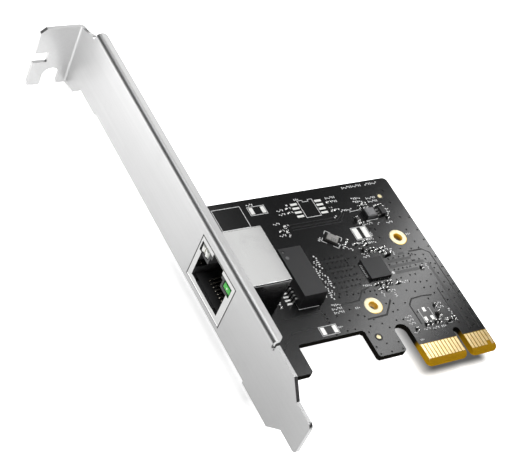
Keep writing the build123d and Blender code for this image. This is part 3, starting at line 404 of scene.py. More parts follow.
# The dark via dots are painted shade, standing in for the mask's dimples over the holes
VIA_DIMPLE_SHADE = raised_mask_finish("painted_via_dimple_shade", 0.0020, 0.50, 0.10)
PALE_EPOXY = moulded_finish("transformer_pale_marks", (0.07, 0.07, 0.072), (0.10, 0.10, 0.102), 0.45, 6800)
DARK_MARK = ink_finish("crystal_marking_ink", grey(0.05), 0.5)
HOUSING = moulded_finish("jack_insulator_black", (0.032, 0.032, 0.033), (0.048, 0.048, 0.049), 0.45, 5200)
EPOXY = moulded_finish("moulded_package_epoxy", (0.007, 0.007, 0.008), (0.012, 0.012, 0.013), 0.38, 6800,
                       specular=0.42)
CHIP_EPOXY = moulded_finish("controller_package_epoxy", (0.007, 0.007, 0.008), (0.011, 0.011, 0.012), 0.32,
                            7200, specular=0.31)
CERAMIC = ceramic_finish("crystal_base_ceramic", (0.010, 0.009, 0.008), (0.03, 0.027, 0.024), 0.45)
FERRITE = ceramic_finish("inductor_ferrite", (0.10, 0.10, 0.105), (0.20, 0.20, 0.205), 0.45)
DARK_END = ceramic_finish("inductor_dark_ends", grey(0.004), grey(0.010), 0.5)
CAPACITOR = ceramic_finish("chip_capacitor_ceramic", (0.012, 0.012, 0.0115), (0.028, 0.027, 0.026), 0.4)
RESISTOR = ceramic_finish("chip_resistor_glaze", (0.006, 0.006, 0.007), (0.014, 0.014, 0.016), 0.25)
SILK = ink_finish("silkscreen_ink", (0.74, 0.745, 0.745), 0.55)
GREEN_LENS = lens_finish("green_lamp_lens", "jack_lamp_green", (0.05, 0.52, 0.05), (0.008, 0.22, 0.02),
                         groove=0.0, painted_highlight=1.0)
CLEAR_LENS = lens_finish("clear_lamp_lens", "jack_lamp_clear", (0.95, 0.95, 0.92), (0.55, 0.57, 0.52),
                         groove=1.0, painted_highlight=0.0)

NODE_FINISHES = {
    "circuit_board": MASK,
    "edge_contacts_front": GOLD,
    "edge_contacts_back": GOLD,
    "bracket": STEEL,
    "bracket_screws": SCREW,
    "jack_shield": SHIELD,
    "jack_housing": HOUSING,
    "jack_contacts": SPRING_GOLD,
    "jack_lamp_clear": CLEAR_LENS,
    "jack_lamp_green": GREEN_LENS,
    "jack_lamp_leads": TIN,
    "jack_solder_joints": SOLDER,
    "transformer_body": EPOXY,
    "transformer_leads": DULL_TIN,
    "controller_body": CHIP_EPOXY,
    "controller_terminals": SOLDER,
    "crystal_base": CERAMIC,
    "crystal_lid": LID,
    "inductor_core": FERRITE,
    "inductor_terminals": DARK_END,
    "regulator_body": CHIP_EPOXY,
    "regulator_leads": DULL_TIN,
    "capacitor_bodies": CAPACITOR,
    "capacitor_ends": TIN,
    "resistor_bodies": RESISTOR,
    "resistor_ends": TIN,
    "heatsink_hole_rings": RING_GOLD,
    "fiducial_marks": TARGET_GOLD,
    "memory_footprint_pads": BARE_PAD,
    "coil_footprint_pads": BARE_PAD,
    "fuse_footprint_pads": BARE_PAD,
    "transistor_footprint_pads": BARE_PAD,
}

# Width in millimetres of the worn or moulded edge of each node that has one
EDGE_WIDTHS = {
    "circuit_board": 0.05,
    "bracket": 0.11,
    "bracket_screws": 0.10,
    "jack_shield": 0.05,
    "jack_housing": 0.10,
    "jack_contacts": 0.04,
    "jack_lamp_clear": 0.08,
    "transformer_body": 0.16,
    "transformer_leads": 0.035,
    "controller_body": 0.05,
    "crystal_base": 0.05,
    "crystal_lid": 0.05,
    "inductor_core": 0.06,
    "inductor_terminals": 0.05,
    "regulator_body": 0.07,
    "capacitor_bodies": 0.05,
    "capacitor_ends": 0.06,
    "resistor_bodies": 0.03,
    "resistor_ends": 0.05,
}


def dress_nodes():
    """Each node gets its finish, and the ones with a visible edge get that edge."""
    for name, finish in NODE_FINISHES.items():
        piece = nodes[name]
        piece.data.materials.clear()
        piece.data.materials.append(finish)
        if name in EDGE_WIDTHS:
            soften_edges(piece, EDGE_WIDTHS[name])


# Faces that meet at less than the first angle become one, and edges sharper than the second are rounded
FLAT_ANGLE = math.radians(0.5)
SHARP_ANGLE = math.radians(32)


def soften_edges(piece, width):
    """Rounds a piece's sharp edges by a width in millimetres, and keeps its flat faces looking flat."""
    for polygon in piece.data.polygons:
        polygon.use_smooth = True
    weld = piece.modifiers.new("joined_facets", "WELD")
    weld.merge_threshold = 0.002 * MM
    flat = piece.modifiers.new("whole_faces", "DECIMATE")
    flat.decimate_type = "DISSOLVE"
    flat.angle_limit = FLAT_ANGLE
    edge = piece.modifiers.new("worn_edge", "BEVEL")
    edge.width = width * MM
    edge.segments = 2
    edge.limit_method = "ANGLE"
    edge.angle_limit = SHARP_ANGLE
    edge.use_clamp_overlap = True
    shade = piece.modifiers.new("even_shading", "WEIGHTED_NORMAL")
    shade.weight = 80


# Mesh work, in millimetres in the card's frame

class Sheetwork:
    """A thin printed, plated or soldered piece, built up from slabs, strips, discs and turned forms."""

    def __init__(self):
        self.mesh = bmesh.new()

    def shell(self, lower, upper):
        """A closed slab between two matching rings of points."""
        low = [self.mesh.verts.new(point) for point in lower]
        high = [self.mesh.verts.new(point) for point in upper]
        self.mesh.faces.new(reversed(low))
        self.mesh.faces.new(high)
        self.walls(low, high)

    def walls(self, low, high):
        for i in range(len(low)):
            j = (i + 1) % len(low)
            self.mesh.faces.new((low[i], low[j], high[j], high[i]))

    def slab(self, outline, low, high):
        self.shell([(x, y, low) for x, y in outline], [(x, y, high) for x, y in outline])

    def strip(self, points, width, low, high):
        """A strip of even width along a line of points, with mitred corners."""
        left, right = [], []
        for i, (x, y) in enumerate(points):
            before = Vector(points[max(i - 1, 0)])
            after = Vector(points[min(i + 1, len(points) - 1)])
            here = Vector((x, y))
            legs = [leg.normalized() for leg in (here - before, after - here) if leg.length > 0]
            along = sum(legs, Vector((0, 0))).normalized()
            across = Vector((-along.y, along.x)) * (width / 2) / max(along.dot(legs[0]), 0.4)
            left.append(here + across)
            right.append(here - across)
        for i in range(len(points) - 1):
            self.slab([right[i], right[i + 1], left[i + 1], left[i]], low, high)

    def circle(self, x, y, size, sides):
        steps = [2 * math.pi * i / sides for i in range(sides)]
        return [(x + size / 2 * math.cos(a), y + size / 2 * math.sin(a)) for a in steps]

    def disc(self, x, y, size, low, high, sides=14):
        self.slab(self.circle(x, y, size, sides), low, high)

    def turned(self, x, y, profile, sides):
        """A closed form turned about an upright axis; the profile is a closed list of (size, z)."""
        rings = []
        for size, z in profile:
            rings.append([self.mesh.verts.new((px, py, z)) for px, py in self.circle(x, y, size, sides)])
        for low, high in zip(rings, rings[1:] + rings[:1]):
            self.walls(low, high)

    def made(self, name, finish, smooth=False):
        """The object of all that was built up, in metres, in its finish."""
        bmesh.ops.recalc_face_normals(self.mesh, faces=self.mesh.faces)
        bmesh.ops.scale(self.mesh, vec=(MM, MM, MM), verts=self.mesh.verts)
        data = bpy.data.meshes.new(name)
        for face in self.mesh.faces:
            face.smooth = smooth
        self.mesh.to_mesh(data)
        self.mesh.free()
        data.materials.append(finish)
        piece = bpy.data.objects.new(name, data)
        bpy.context.scene.collection.objects.link(piece)
        return piece

    def done(self, name, finish, smooth=False):
        """The object as a piece of the card."""
        piece = self.made(name, finish, smooth)
        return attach(piece, "root")


def rectangle(x0, x1, y0, y1):
    """The corners of a rectangle and its first corner again, to draw it as a closed line."""
    return [(x0, y0), (x1, y0), (x1, y1), (x0, y1), (x0, y0)]


def turned_rectangle(x, y, turn, long_side, wide_side):
    c, s = math.cos(math.radians(turn)), math.sin(math.radians(turn))
    corners = [(-0.5, -0.5), (0.5, -0.5), (0.5, 0.5), (-0.5, 0.5)]
    return [(x + c * u * long_side - s * v * wide_side, y + s * u * long_side + c * v * wide_side)
            for u, v in corners]


# Printed marks

SILK_TALL = 0.018
SILK_LINE = 0.14
# Outlines of footprints and short lines beside parts
OUTLINES = (
    rectangle(-44.4, -36.6, 46.85, 53.3),
    ((-19.2, 52.1), (-20.6, 52.1), (-20.6, 46.7), (-16.35, 46.7), (-16.35, 52.1), (-17.6, 52.1)),
    ((-19.2, 52.1), (-19.2, 51.55), (-17.6, 51.55), (-17.6, 52.1)),
    rectangle(-34.85, -30.1, 50.0, 52.6),
    rectangle(-34.85, -30.1, 13.5, 16.0),
    rectangle(-10.95, -6.5, 37.55, 41.3),
    rectangle(-0.9, 0.35, 9.55, 11.05),
    ((-8.2, 46.2), (-4.6, 46.45)),
    ((-4.95, 42.7), (-1.6, 42.7)),
    ((-6.35, 14.9), (-6.7, 14.9), (-6.7, 11.2)),
    ((-3.85, 14.9), (-3.5, 14.9), (-3.5, 11.2)),
    ((-36.8, 24.8), (-36.8, 21.7), (-31.3, 21.7)),
    ((-43.6, 24.6), (-40.3, 24.6)),
)
PIN_DOTS = ((-24.1, 51.3, 0.55), (-6.9, 26.4, 0.8), (2.2, 46.3, 0.4))
# Sides of the outline round the crystal, and how much of each side its corners cover
CRYSTAL_OUTLINE = (4.5, 3.7)
CORNER_SHARE = 0.32
# The row of ticks beside the controller
TICKS = 8
TICK_START = (-14.55, 26.7)
TICK_PITCH = 0.5
TICK_SIZE = (0.20, 0.26)
LABEL_PITCH = 0.56
LABEL_BLOCKS = ((0.38, 0.34, 0.2), (0.22, 0.72, 0.0), (0.36, 0.30, -0.2), (0.26, 0.62, 0.0), (0.40, 0.26, 0.0))


def silkscreen():
    """White outlines round the footprints, pin dots, and plain blocks where printed words sit."""
    ink = Sheetwork()
    for line in OUTLINES:
        ink.strip(line, SILK_LINE, 0.0, SILK_TALL)
    crystal_corners(ink)
    for x, y, size in PIN_DOTS:
        ink.disc(x, y, size, 0.0, SILK_TALL)
    for i in range(TICKS):
        tick = turned_rectangle(TICK_START[0], TICK_START[1] + TICK_PITCH * i, 0, *TICK_SIZE)
        ink.slab(tick, 0.0, SILK_TALL)
    for x, y, turn, count, size in LABEL_PLACES:
        label_dashes(ink, x, y, turn, count, size)
    ink.done("silkscreen_marks", SILK)


def crystal_corners(ink):
    """The corners of the turned outline round the crystal, open along its sides."""
    corners = [Vector(corner) for corner in turned_rectangle(*CRYSTAL_PLACE, CRYSTAL_TURN, *CRYSTAL_OUTLINE)]
    for start, end in zip(corners, corners[1:] + corners[:1]):
        for near, far in ((start, end), (end, start)):
            ink.strip([near, near.lerp(far, CORNER_SHARE)], SILK_LINE, 0.0, SILK_TALL)


# Where the printed words sit: middle, turn of the row, how many blocks, and their size
LABEL_PLACES = (
    (-3.3, 53.8, 0, 11, 1.0), (2.7, 53.8, 0, 7, 1.0), (-33.8, 53.25, 0, 4, 0.9), (-20.7, 52.6, 0, 3, 0.9),
    (-26.7, 50.1, 0, 4, 0.9), (-26.7, 48.85, 0, 4, 0.9), (-11.2, 51.5, 0, 6, 0.9), (-11.2, 50.2, 0, 6, 0.9),
    (-4.2, 50.0, 0, 5, 1.0), (-4.2, 48.9, 0, 5, 1.0), (0.1, 49.4, 0, 6, 0.9), (0.1, 48.3, 0, 6, 0.9),
    (-29.7, 46.35, 0, 4, 0.9), (-29.8, 42.7, 0, 4, 0.9), (-8.8, 46.95, 0, 7, 0.9), (-12.9, 45.5, 0, 2, 1.0),
    (2.4, 45.2, 0, 3, 0.9), (2.4, 44.3, 0, 3, 0.9), (-6.4, 41.7, 0, 3, 0.8), (-4.7, 41.8, 0, 4, 0.8),
    (-4.6, 42.5, 0, 3, 0.7), (-2.3, 41.3, 0, 2, 0.8), (1.0, 41.1, 0, 4, 0.9), (4.0, 36.65, 0, 3, 0.9),
    (-6.1, 38.6, 90, 3, 0.8), (-20.9, 39.8, 48, 3, 0.9), (-16.0, 37.0, -42, 4, 0.9), (-14.4, 35.5, -45, 4, 0.9),
    (-7.5, 37.2, 0, 5, 0.9), (-7.4, 36.2, 0, 5, 0.9), (-11.2, 36.6, 0, 5, 0.9), (-11.1, 35.1, 0, 4, 0.9),
    (-11.3, 33.4, 0, 4, 0.9), (-11.3, 32.4, 0, 4, 0.9), (-5.2, 33.4, 0, 4, 0.9), (-3.5, 32.4, 90, 4, 1.0),
    (3.4, 26.3, 90, 4, 0.8), (-15.9, 24.35, 0, 5, 0.9), (-5.3, 23.3, 0, 4, 1.0), (-10.2, 21.6, 0, 4, 0.9),
    (-13.1, 21.3, 90, 4, 0.9), (-9.9, 20.3, 90, 3, 0.9), (-22.0, 18.9, 0, 3, 0.9), (-29.2, 14.9, 0, 3, 0.8),
    (-27.0, 20.9, 0, 5, 0.9), (-27.3, 19.85, 0, 6, 0.9), (-27.3, 18.8, 0, 6, 0.9), (-26.7, 30.4, 90, 7, 1.1),
    (-25.8, 30.3, 90, 4, 0.8), (-25.0, 33.4, 90, 7, 1.1), (-25.9, 33.2, 90, 4, 0.7), (-25.0, 27.5, 90, 7, 1.1),
    (-26.0, 27.2, 90, 4, 0.7), (-26.7, 24.4, 90, 7, 1.1), (-25.8, 24.3, 90, 4, 0.7), (-10.4, 13.6, 0, 4, 0.9),
    (-10.4, 12.6, 0, 4, 0.9), (-10.4, 11.6, 0, 4, 0.9), (-10.5, 9.1, 0, 4, 0.9), (-10.5, 6.8, 0, 3, 0.7),
    (-0.3, 15.45, 0, 4, 0.9), (-0.2, 14.35, 0, 4, 0.9), (-1.8, 13.2, 0, 3, 0.9), (-1.6, 12.2, 0, 3, 0.9),
    (-7.4, 9.35, 0, 4, 0.9), (-4.9, 9.1, 0, 4, 0.9), (-2.6, 9.1, 0, 3, 0.9), (1.7, 12.6, 90, 4, 0.9),
    (1.95, 10.4, 90, 3, 0.9),
)


def label_dashes(ink, x, y, turn, count, size):
    """A row of small plain blocks at the scale of part labels, with no letters in it."""
    c, s = math.cos(math.radians(turn)), math.sin(math.radians(turn))
    for i in range(count):
        along = (i - (count - 1) / 2) * LABEL_PITCH * size
        wide, tall, lift = LABEL_BLOCKS[(i * 3 + count) % len(LABEL_BLOCKS)]
        place = (x + c * along - s * lift, y + s * along + c * lift)
        ink.slab(turned_rectangle(*place, turn, wide * size, tall * size), 0.0, SILK_TALL)


# Copper under the mask

# The bands lie a hair lower than the gaps that cross them
GAP_TALL = 0.004
BAND_TALL = 0.003
TRACK_WIDE = 0.30
TRACK_TALL = 0.012
# Gaps between copper areas, as width and line
GAP_LINES = (
    (0.40, ((-26.0, 20.6), (-22.4, 20.7), (-20.2, 20.9), (-18.2, 23.2), (-15.9, 23.8))),
    (0.50, ((-12.2, 19.2), (-15.6, 15.4), (-21.2, 15.3))),
    (0.45, ((0.9, 31.55), (5.0, 31.5))),
    (0.30, ((5.0, 31.5), (6.6, 30.1), (6.7, 6.6))),
    (0.40, ((-0.4, 18.1), (-3.2, 18.4), (-6.6, 18.2), (-8.1, 16.6), (-8.1, 10.8))),
    (0.35, ((2.3, 19.8), (2.2, 13.6))),
    (0.30, ((-42.4, 19.8), (-31.8, 19.8), (-31.6, 16.0), (-42.4, 15.9))),
    (0.35, ((-26.4, 44.5), (-13.0, 44.5), (-11.5, 45.4), (-10.4, 46.5))),
    (0.30, ((-42.4, 15.9), (-47.3, 11.2), (-47.6, 5.6))),
)
BAND_LINES = (
    (0.9, ((-6.8, 29.7), (0.4, 29.7))), (0.85, ((-6.8, 28.1), (3.5, 28.1))), (0.9, ((-6.2, 26.2), (0.8, 26.2))),
    (0.6, ((-2.5, 31.4), (-0.6, 31.4))), (0.8, ((4.25, 27.4), (4.25, 7.0))),
    (0.8, ((-24.4, 24.4), (-17.6, 24.4), (-15.6, 26.4))), (0.7, ((-24.2, 27.3), (-15.6, 27.3))),
    (0.7, ((-24.2, 30.3), (-16.2, 30.3))), (0.7, ((-24.2, 33.2), (-17.6, 33.2))),
)
TRACK_LINES = (
    ((-26.4, 45.4), (-13.8, 45.4)), ((-26.4, 43.7), (-12.3, 43.7), (-10.0, 46.0)),
    ((-2.5, 7.0), (-2.5, 8.4)), ((-3.5, 7.0), (-3.5, 8.4)),
    ((-5.5, 7.0), (-5.5, 8.3)), ((-6.5, 7.0), (-6.5, 8.5)),
)


def pour_gaps():
    """The narrow gaps between copper areas, seen as dark lines under the mask, and the wide darker bands."""
    gaps = Sheetwork()
    for width, line in GAP_LINES:
        gaps.strip(line, width, 0.0, GAP_TALL)
    gaps.done("copper_pour_gaps", GAP_MASK)
    bands = Sheetwork()
    for width, line in BAND_LINES:
        bands.strip(line, width, 0.0, BAND_TALL)
    bands.done("inner_copper_bands", BAND_MASK)


def tracks():
    """Tracks that stand a little proud under the mask."""
    raised = Sheetwork()
    for line in TRACK_LINES:
        raised.strip(line, TRACK_WIDE, 0.0, TRACK_TALL)
    raised.done("masked_tracks", TRACK_MASK)


# Sizes of a via's collar and dimple, the room round other parts, and the board that it needs round it
VIA_COLLAR = 0.74
VIA_DOT = 0.48
COLLAR_TALL = 0.012
DOT_TALL = 0.016
VIA_SIDES = 12
VIA_ROOM = 0.3
VIA_REACH = 0.4
UPPER_ROW = tuple((-38.0 + 6.6 * i, 54.2) for i in range(5))
VIA_COLUMNS = (-22.75, -21.3, -20.0, -18.85, -17.6)
VIA_ROWS = (25.1, 26.6, 28.1, 29.6, 31.0, 32.5, 33.9)
LOOSE_VIAS = (
    (-24.2, 26.6), (-24.1, 31.0), (-16.7, 28.2), (-16.8, 26.4), (-16.1, 30.3), (-17.4, 31.8), (-16.5, 32.8),
    (-14.4, 32.8), (-24.3, 23.7), (-22.2, 23.8), (-25.0, 22.7), (-22.6, 23.0), (-21.0, 22.7), (-19.5, 22.7),
    (-17.8, 22.7), (-16.1, 22.6), (-14.8, 22.6), (-5.9, 30.5), (-4.4, 30.5), (-2.7, 30.6), (-1.2, 30.6),
    (0.6, 30.9), (0.7, 30.2), (1.4, 30.6), (2.2, 30.2), (4.5, 29.8), (-6.6, 28.8), (-4.3, 28.9),
    (-2.4, 28.9), (-1.2, 28.9), (0.4, 28.8), (0.95, 28.7), (2.5, 28.8), (4.3, 28.5), (-6.1, 27.2),
    (-4.9, 27.1), (-3.5, 27.2), (-2.3, 27.1), (-1.3, 27.2), (0.5, 27.3), (2.5, 27.3), (-0.8, 32.8),
    (2.2, 32.2), (4.5, 32.1), (7.4, 31.9), (7.4, 28.5), (4.9, 26.9), (6.1, 26.5), (5.1, 25.4), (7.4, 25.3),
    (3.0, 23.8), (5.2, 23.7), (7.4, 22.4), (-7.2, 24.3), (-5.7, 24.5), (-2.8, 24.8), (-1.2, 24.8),
    (-4.2, 23.1), (-2.6, 22.5), (-1.2, 22.3), (0.7, 22.2), (3.0, 21.0), (5.2, 20.9), (7.4, 19.8),
    (-6.4, 20.8), (-4.3, 20.0), (-1.2, 20.5), (0.7, 20.4), (-12.0, 18.0), (-12.0, 16.0), (-8.9, 17.5),
    (0.6, 18.5), (-2.0, 17.3), (-7.2, 14.3), (3.0, 15.8), (5.2, 18.5), (5.2, 16.0), (3.0, 18.3),
    (7.4, 17.2), (5.2, 12.6), (5.1, 9.9), (7.4, 14.5), (7.4, 11.9), (5.2, 7.5), (7.4, 8.9), (2.2, 9.1),
    (-5.5, 8.7), (-12.1, 13.2), (-31.8, 20.8), (-31.2, 19.0), (-31.2, 17.8), (-31.2, 16.7), (-28.5, 17.9),
    (-26.0, 16.0), (-23.0, 17.0), (-24.3, 18.9), (-21.5, 16.3), (-19.7, 14.9), (-18.2, 13.4), (-21.6, 13.4),
    (-25.9, 13.5), (-31.3, 13.1), (-28.0, 13.5), (-15.0, 21.4), (-14.0, 18.4), (-13.5, 15.8), (-14.0, 13.4),
    (-22.9, 11.9), (-16.9, 11.9), (-23.3, 7.7), (-20.2, 8.0), (-16.9, 7.7), (-23.2, 5.7), (-20.1, 5.7),
    (-16.9, 5.7), (-7.0, 38.9), (-4.3, 39.7), (-4.4, 37.1), (4.4, 38.0), (7.4, 37.3), (4.5, 34.1),
    (7.4, 34.1), (4.9, 42.0), (7.4, 41.5), (4.9, 47.0), (4.9, 50.9), (-5.6, 40.2), (-24.8, 53.2),
)


def via_places():
    """The block left of the controller, the loose ones on the copper areas and a row along the upper edge."""
    places = [(x, y) for x in VIA_COLUMNS for y in VIA_ROWS]
    places += LOOSE_VIAS
    places += UPPER_ROW
    covered = board_below()
    blocked = via_keepouts()
    clear = [(x, y) for x, y in places if not any(x0 < x < x1 and y0 < y < y1 for x0, x1, y0, y1 in blocked)]
    return [place for place in clear if covered(*place)]


def board_below():
    """A test of whether the board's top face lies under a place, so that no via hangs past its outline."""
    data = nodes["circuit_board"].data
    corners = [vertex.co / MM for vertex in data.vertices]
    surface = BVHTree.FromPolygons(corners, [tuple(polygon.vertices) for polygon in data.polygons])

    def covered(x, y):
        reach = VIA_REACH
        around = ((x, y), (x + reach, y), (x - reach, y), (x, y + reach), (x, y - reach))
        hits = [surface.ray_cast(Vector((px, py, 5.0)), Vector((0, 0, -1)))[0] for px, py in around]
        return all(hit is not None and hit.z > -0.05 for hit in hits)

    return covered


def via_keepouts():
    """Boxes in X and Y that hold parts, pads or rings, where no via is placed."""
    boxes = []
    for name in NODE_FINISHES:
        if name in ("circuit_board", "bracket") or name.startswith("edge"):
            continue
        for low, high in island_boxes(name):
            boxes.append((low.x - VIA_ROOM, high.x + VIA_ROOM, low.y - VIA_ROOM, high.y + VIA_ROOM))
    return boxes


def vias():
    """Each via on both faces of the board: a shallow collar, and on it a dark disc, painted shade standing in
    for the mask's dimple.
    """
    dots = Sheetwork()
    collars = Sheetwork()
    for x, y in via_places():
        for work, size, tall in ((collars, VIA_COLLAR, COLLAR_TALL), (dots, VIA_DOT, DOT_TALL)):
            work.disc(x, y, size, 0.0, tall, VIA_SIDES)
            work.disc(x, y, size, -BOARD_THICK - tall, -BOARD_THICK, VIA_SIDES)
    collars.done("via_collars", MASK)
    dots.done("tented_vias", VIA_DIMPLE_SHADE)


# Solder and plating

def islands(name):
    """The separate solids of a node, each as its own list of points in millimetres."""
    data = nodes[name].data
    points = [vertex.co / MM for vertex in data.vertices]
    places = {}
    keys = [places.setdefault(tuple(round(c, 3) for c in point), len(places)) for point in points]
    parent = list(range(len(places)))

    def root(i):
        while parent[i] != i:
            parent[i] = parent[parent[i]]
            i = parent[i]
        return i

    for edge in data.edges:
        a, b = (root(keys[i]) for i in edge.vertices)
        parent[a] = b
    found = {}
    for place, key in places.items():
        found.setdefault(root(key), []).append(Vector(place))
    return list(found.values())


def island_boxes(name):
    boxes = []
    for points in islands(name):
        low = Vector([min(point[axis] for point in points) for axis in range(3)])
        high = Vector([max(point[axis] for point in points) for axis in range(3)])
        boxes.append((low, high))
    return boxes


def middle(points):
    return sum(points, Vector()) / len(points)


# A chip's fillet is wider than the chip's end by this on each side
FILLET_MARGIN = 0.05
# A fillet's section: steps out from the face, with heights as shares of its own, and then its thin toe
FILLET_STEPS = ((-0.02, 0.72), (0.07, 0.36), (0.17, 0.14))
FILLET_REACH = 0.34
FILLET_TOE = 0.03


def chip_fillets():
    """A concave solder fillet at the outer side of every chip end."""
    fillets = Sheetwork()
    for kind in ("capacitor", "resistor"):
        bodies = [middle(points) for points in islands(kind + "_bodies")]
        for points in islands(kind + "_ends"):
            centre = middle(points)
            body = min(bodies, key=lambda other: (other - centre).length)
            out = Vector((centre.x - body.x, centre.y - body.y, 0)).normalized()
            across = Vector((-out.y, out.x, 0))
            reach = max((point - centre).dot(out) for point in points)
            half = max((point - centre).dot(across) for point in points) + FILLET_MARGIN
            tall = max(point.z for point in points)
            face = Vector((centre.x, centre.y, 0)) + out * reach
            solder_wedge(fillets, face, out, across * half, tall)
    fillets.done("chip_solder_fillets", SOLDER, smooth=True)


def solder_wedge(work, face, out, side, tall):
    """A concave fillet against an upright face: its section falls in three steps to the pad."""
    section = [(step, share * tall) for step, share in FILLET_STEPS] + [(FILLET_REACH, FILLET_TOE)]
    heel = face + out * FILLET_STEPS[0][0]
    toe = face + out * FILLET_REACH
    ends = []
    for edge in (side, -side):
        top = [face + out * step + edge + Vector((0, 0, z)) for step, z in section]
        ends.append([heel + edge, toe + edge] + top[::-1])
    work.shell(*ends)


# For each set of leads: how far the pads reach past the toes, and half the pads' width
LEAD_PADS = (("transformer_leads", 0.4, 0.30), ("regulator_leads", 0.12, 0.18))
LEAD_PAD_TALL = 0.035
LEAD_PAD_BACK = 2.75
TOE_FILLET_SHARE = 0.8
TOE_FILLET_TALL = 0.22


def lead_fillets():
    """Pads and toe fillets under the transformer's and the regulator's leads."""
    solder = Sheetwork()
    for name, reach, half in LEAD_PADS:
        boxes = island_boxes(name)
        centre_x = sum(low.x + high.x for low, high in boxes) / (2 * len(boxes))
        for low, high in boxes:
            lead_pad(solder, low, high, centre_x, reach, half)
    solder.done("lead_solder_pads", SOLDER)


def lead_pad(solder, low, high, centre_x, reach, half):
    """The pad of one lead and the fillet at its toe, on the side away from the package's middle."""
    y = (low.y + high.y) / 2
    side = 1 if (low.x + high.x) / 2 > centre_x else -1
    toe = high.x if side > 0 else low.x
    x0, x1 = sorted((toe - side * LEAD_PAD_BACK * half, toe + side * reach))
    solder.slab(rectangle(x0, x1, y - half, y + half)[:4], 0.0, LEAD_PAD_TALL)
    across = Vector((0, side * half * TOE_FILLET_SHARE, 0))
    solder_wedge(solder, Vector((toe, y, 0)), Vector((side, 0, 0)), across, TOE_FILLET_TALL)


# A joint's outline from the board to its tip, as shares of its size and height, and the hole for its tail
JOINT_OUTLINE = ((1.0, 0.0), (0.93, 0.07), (0.72, 0.25), (0.52, 0.55), (0.40, 0.85), (0.33, 1.0))
JOINT_HOLE = 0.16


def joint_cones():
    """The smooth concave solder joints round the jack's tails on the solder side."""
    cones = Sheetwork()
    under = -BOARD_THICK
    for low, high in island_boxes("jack_solder_joints"):
        size = high.x - low.x
        tall = under - low.z
        outline = [(share * size, under - drop * tall) for share, drop in JOINT_OUTLINE]
        profile = [(JOINT_HOLE * size, under)] + outline + [(JOINT_HOLE * size, low.z)]
        cones.turned((low.x + high.x) / 2, (low.y + high.y) / 2, profile, 20)
    piece = cones.done("jack_solder_cones", SOLDER, smooth=True)
    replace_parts(piece, "jack_solder_joints")


# The rings' rims slope off from this share of their height, by these amounts outside and round the hole
RIM_START = 0.4
OUTER_SLOPE = 0.30
INNER_SLOPE = 0.24
# The walls of the two holes stand clear of the bore, and end a little proud of the board's faces
WALL_CLEAR = 0.01
WALL_LINING = 0.07
WALL_PROUD = 0.02


def heatsink_rings():
    """The wide plated rings, with rims that slope off."""
    rings = Sheetwork()
    for low, high in island_boxes("heatsink_hole_rings"):
        size = high.x - low.x
        outer, inner = (high.z, low.z) if low.z > -BOARD_THICK / 2 else (low.z, high.z)
        rim = inner + (outer - inner) * RIM_START
        profile = ((HEATSINK_HOLE, inner), (size, inner), (size, rim), (size - OUTER_SLOPE, outer),
                   (HEATSINK_HOLE + INNER_SLOPE, outer), (HEATSINK_HOLE, rim))
        rings.turned((low.x + high.x) / 2, (low.y + high.y) / 2, profile, 56)
    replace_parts(rings.done("smooth_heatsink_rings", RING_GOLD), "heatsink_hole_rings")


def heatsink_walls():
    """The plated walls of the two holes."""
    barrels = Sheetwork()
    bore, lining = HEATSINK_HOLE - WALL_CLEAR, HEATSINK_HOLE - WALL_LINING
    top, bottom = WALL_PROUD, -BOARD_THICK - WALL_PROUD
    for x, y in HEATSINK_HOLES:
        barrels.turned(x, y, ((bore, bottom), (bore, top), (lining, top), (lining, bottom)), 48)
    barrels.done("heatsink_hole_walls", HOLE_GOLD, smooth=True)


# The dark dimple in the transformer's top: its distance from the corner, and the sizes of its parts
PIN_MARK = (1.2, 1.4)
PIN_RIM = 1.2
PIN_RIM_TALL = 0.008
PIN_HOLE = 0.9
PIN_DEEP = 0.13
PIN_FLOOR_THICK = 0.019
PIN_CENTRE = 0.42
PIN_CENTRE_TALL = 0.07
SHALLOW_MARK = 0.95
SHALLOW_TALL = 0.01
# The shallow mark beside it, seen from the dimple
SHALLOW_PLACE = (0.3, -1.75)


def transformer_marks():
    """The dark pin dimple of the transformer with its light centre, and a shallow mark beside it."""
    low, high = (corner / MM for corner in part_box("transformer_body"))
    x, y, top = low.x + PIN_MARK[0], high.y - PIN_MARK[1], high.z
    rim_top = top + PIN_RIM_TALL
    deep = top - PIN_DEEP
    dimple = Sheetwork()
    dimple.turned(x, y, ((PIN_HOLE, top), (PIN_RIM, top), (PIN_RIM, rim_top), (PIN_HOLE, rim_top)), 24)
    dimple.disc(x, y, PIN_HOLE, deep - PIN_FLOOR_THICK, deep, 24)
    dimple.done("transformer_pin_mark", DARK_END)
    pale = Sheetwork()
    pale.disc(x, y, PIN_CENTRE, deep, deep + PIN_CENTRE_TALL, 20)
    shallow_x, shallow_y = x + SHALLOW_PLACE[0], y + SHALLOW_PLACE[1]
    pale.disc(shallow_x, shallow_y, SHALLOW_MARK, top, top + SHALLOW_TALL, 24)
    pale.done("transformer_moulded_marks", PALE_EPOXY)


# Plain blocks on the crystal's lid, in the lid's own turned axes
LID_BLOCK = (0.32, 0.22)
LID_BLOCK_TALL = 0.008
LID_COLUMNS = (-0.15, 0.35, 0.85)
LID_ROWS = (-0.20, -0.65)


def crystal_lid_print():
    """Two short rows of plain blocks, where the lid of the crystal is printed."""
    low, high = (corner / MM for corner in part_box("crystal_lid"))
    centre = (low + high) / 2
    turn = Matrix.Rotation(math.radians(CRYSTAL_TURN), 2)
    blocks = Sheetwork()
    for along in LID_COLUMNS:
        for across in LID_ROWS:
            place = centre.xy + turn @ Vector((along, across))
            blocks.slab(turned_rectangle(*place, CRYSTAL_TURN, *LID_BLOCK), high.z, high.z + LID_BLOCK_TALL)
    blocks.done("crystal_lid_marking", DARK_MARK)


